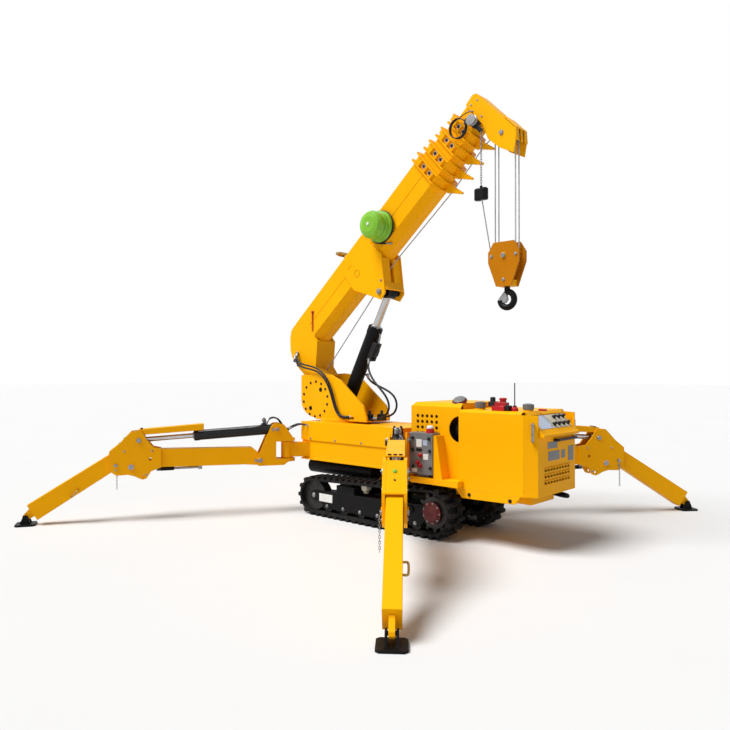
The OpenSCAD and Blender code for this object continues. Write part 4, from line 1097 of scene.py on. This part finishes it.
def make_outrigger_pins(leg):
    """Pin caps, bolts and keeper plates of the arm and the bracket."""
    place = leg_frame(leg)
    turn = place.to_3x3()
    bm = bmesh.new()
    for side in (-1, 1):
        out = turn @ Vector((0, side, 0))
        plate = side * PLATE_OUT
        pin_cap(bm, place @ Vector((EYE_PIN[0], plate, EYE_PIN[1])), out, 0.022)
        for s, z in ((1.246, 0.392), (1.5, 0.44), (1.43, 0.6), (1.2, 0.6)):
            bolt(bm, place @ Vector((s, plate, z)), out, 0.006)
    piece(f"arm_bolts_{leg}", bm, "arm_" + leg, "bare_steel")

    bm = bmesh.new()
    for side in (-1, 1):
        out = turn @ Vector((0, side, 0))
        plate = side * PLATE_OUT
        for s, z in (ARM_PIN, RAM_PIN):
            pin_cap(bm, place @ Vector((s, side * (PLATE_OUT + 0.008), z)), out, 0.016)
            block(bm, (s + 0.026, plate - 0.002, z - 0.012), (s + 0.05, plate + 0.004, z + 0.012), place)
    spin(bm, [(0.03, 0), (0.03, 0.006), (0.014, 0.01)], place @ Vector((0, 0, 0.682)), UP, 24)
    piece(f"bracket_pins_{leg}", bm, "bracket_" + leg, "bare_steel")


def make_arm_trim(leg):
    """Strut, guard slots, cover marks and pin chain."""
    place = leg_frame(leg)
    bm = bmesh.new()
    strut = [place @ Vector((s, -0.03, z)) for s, z in ((1.15, 0.424), (0.78, 0.428))]
    axis = strut[1] - strut[0]
    spin(bm, [(0.011, 0.1), (0.011, 0.37)], strut[0], axis, 14)
    for s in (0.77, 1.13):
        block(bm, (s, -0.046, 0.41), (s + 0.035, -0.014, 0.455), place)
    piece(f"arm_strut_{leg}", bm, "arm_" + leg, "bare_steel", bevel=0.002)
    single(f"strut_body_{leg}", spin,
           ([(0.015, -0.01), (0.018, -0.005), (0.018, 0.13), (0.014, 0.137)], strut[0], axis, 18),
           "arm_" + leg, "black_paint")

    bm = bmesh.new()
    slope = Matrix.Translation((1.3, 0, 0.7851)) @ Matrix.Rotation(math.radians(4.02), 4, "Y")
    for y in (-0.034, 0.0, 0.034):
        block(bm, (-0.02, y - 0.011, -0.002), (0.0, y + 0.011, 0.0065), place @ slope)
    # These near-black blocks are painted shade standing in for the inside of the guard's slots.
    piece(f"guard_slots_{leg}", bm, "arm_" + leg, "black_plastic", RECESS_SHADE, bevel=0.001)

    cover = place.to_3x3() @ Vector((0.67, 0, 0.74)).normalized()
    single(f"green_mark_{leg}", spin,
           ([(0.014, -0.001), (0.014, 0.004), (0.009, 0.009)], place @ Vector((1.43, 0, 0.708)), cover, 24),
           "arm_" + leg, "green_plastic")
    single(f"cover_plug_{leg}", spin,
           ([(0.006, -0.001), (0.006, 0.004)], place @ Vector((1.475, 0, 0.664)), cover, 16),
           "arm_" + leg, "black_plastic")

    top = Vector((1.5, -PLATE_OUT - 0.014, 0.464))
    spots = [top - UP * (0.012 + i * CHAIN_PITCH) for i in range(CHAIN_LINKS)]
    single(f"pin_chain_{leg}", chain, (spots, 0.006, 0.011, 0.0018, 10, 5, place), "arm_" + leg, "bare_steel")


def make_leg_handle(leg):
    """The brass handle on the side of the leg."""
    place = leg_frame(leg)
    a, b, out = HANDLE
    route = (a - out * 0.2, a + out, a.lerp(b, 0.2) + out * 1.3, a.lerp(b, 0.8) + out * 1.3, b + out,
             b - out * 0.2)
    single(f"leg_handle_{leg}", tube, (through([place @ p for p in route], 4), 0.007, 8),
           "leg_" + leg, "bare_steel", BRASS)


def make_ram_trim(leg):
    """Gland, pipe and valve on an outrigger's cylinder."""
    place = ram_frame(leg)
    turn = place.to_3x3()
    bm = bmesh.new()
    spin(bm, [(0.03, 0.738), (0.03, 0.75), (0.0225, 0.753)], place.to_translation(),
         turn @ Vector((1, 0, 0)), 28)
    route = ((0.13, 0.014, 0.054), (0.2, 0.036, 0.037), (0.5, 0.036, 0.037), (0.66, 0.036, 0.037),
             (0.69, 0.034, 0.036), (0.705, 0.03, 0.032))
    tube(bm, through([place @ Vector(p) for p in route], 4), 0.006, 8)
    piece(f"ram_pipe_{leg}", bm, "ram_" + leg, "bare_steel")
    single(f"ram_valve_{leg}", spin,
           ([(0.014, 0), (0.014, 0.018), (0.02, 0.02), (0.02, 0.036), (0.012, 0.04), (0.012, 0.05)],
            place @ Vector((0.108, 0, 0.06)), turn @ UP, 18),
           "ram_" + leg, "grey_panel")


def make_outrigger_hoses(leg):
    """Two hoses from the frame to the bracket's clamp, and two on to the cylinder."""
    place = leg_frame(leg)
    side = -1 if leg.endswith("n") else 1
    wall = Vector((-0.68 if leg.startswith("f") else 0.44, side * 0.262, 0.78))
    single(f"hose_clamp_{leg}", block, ((-0.004, -0.0595, 0.735), (0.032, 0.0595, 0.766), place),
           "bracket_" + leg, "black_plastic", bevel=0.003)
    for i, y in enumerate((-0.036, 0.036)):
        back = place @ Vector((-0.004, y, 0.752))
        rear = place @ Vector((-0.05, y, 0.775))
        start = wall + Vector((0.05 * (i - 0.5), 0, 0))
        rise = start.lerp(rear, 0.5) + UP * 0.05
        leave = start + Vector((0, side * 0.03, 0.02))
        hose(f"outrigger_hose_{leg}_{i + 1}", [start, leave, rise, rear, back],
             FRAME_HOSE_R, "base", "bracket_" + leg, passes=90)
        route = ((0.032, y, 0.752), (0.052, y, 0.8), (0.085, y * 0.9, 0.848), (0.13, y * 0.7, 0.865),
                 (0.17, y * 0.5, 0.85), (0.19, y * 0.36, 0.822))
        loop = [place @ Vector(p) for p in route]
        hose(f"ram_hose_{leg}_{i + 1}", loop, RAM_HOSE_R, "bracket_" + leg, "ram_" + leg,
             passes=6)


# Floor and light

FLOOR_HALF = 60
FLOOR_THICK = 0.05
FLOOR_GREY = (0.7, 0.7, 0.7)
KEY_FROM = Vector((-0.28, -0.55, 1.0))
KEY_POWER = 4.16
KEY_SPREAD = math.radians(30)
SKY_FILL = 0.22


def make_floor():
    """A wide pale floor."""
    bm = bmesh.new()
    block(bm, (-FLOOR_HALF, -FLOOR_HALF, -FLOOR_THICK), (FLOOR_HALF, FLOOR_HALF, 0))
    mesh = mesh_from(bm, "floor")
    floor = add_object("floor", mesh)
    paper = finish("floor_paper", FLOOR_GREY, 0.9, shade=0.01, grain=0.5, bump=0.01)
    mesh.materials.append(paper)


def make_light():
    """A broad key light, and a sky that lights less than it shows."""
    data = bpy.data.lights.new("key", "SUN")
    data.energy = KEY_POWER
    data.angle = KEY_SPREAD
    add_object("key", data, -KEY_FROM)

    world = bpy.data.worlds.new("studio")
    world.use_nodes = True
    bpy.context.scene.world = world
    tree = world.node_tree
    make = node_maker(tree)
    link = tree.links.new
    back = tree.nodes["Background"]
    fill(back, {"Color": (1, 1, 1, 1)})
    rays = make("ShaderNodeLightPath").outputs
    seen = rays["Is Camera Ray"]
    for kind in ("Is Glossy Ray", "Is Transmission Ray"):
        either = make("ShaderNodeMath", operation="MAXIMUM")
        link(seen, either.inputs[0])
        link(rays[kind], either.inputs[1])
        seen = either.outputs["Value"]
    level = make("ShaderNodeMapRange", {"To Min": SKY_FILL, "To Max": 1.0})
    link(seen, level.inputs["Value"])
    link(level.outputs["Result"], back.inputs["Strength"])


make_camera()
make_boom_hoses()
make_lift_hoses()
for leg_name in HEADINGS:
    make_outrigger_hoses(leg_name)
paint_solids()
for leg_name in HEADINGS:
    paint_outrigger(leg_name)
paint_crane()
make_turret()
make_drum_rope()
make_boom_ropes()
make_lift_trim()
make_boom_welds()
make_boom_fittings()
make_reel_trim()
make_collar_bolts()
make_head_plates()
make_head_switch()
make_limit_weight()
make_hook_trim()
make_roof_caps()
make_stop_valve()
make_console_face()
make_hood_sides()
make_control_box()
make_track_trim()
make_frame_trim()
for leg_name in HEADINGS:
    make_outrigger_pins(leg_name)
    make_arm_trim(leg_name)
    make_leg_handle(leg_name)
    make_ram_trim(leg_name)
make_floor()
make_light()
bpy.context.scene.view_settings.view_transform = "Standard"
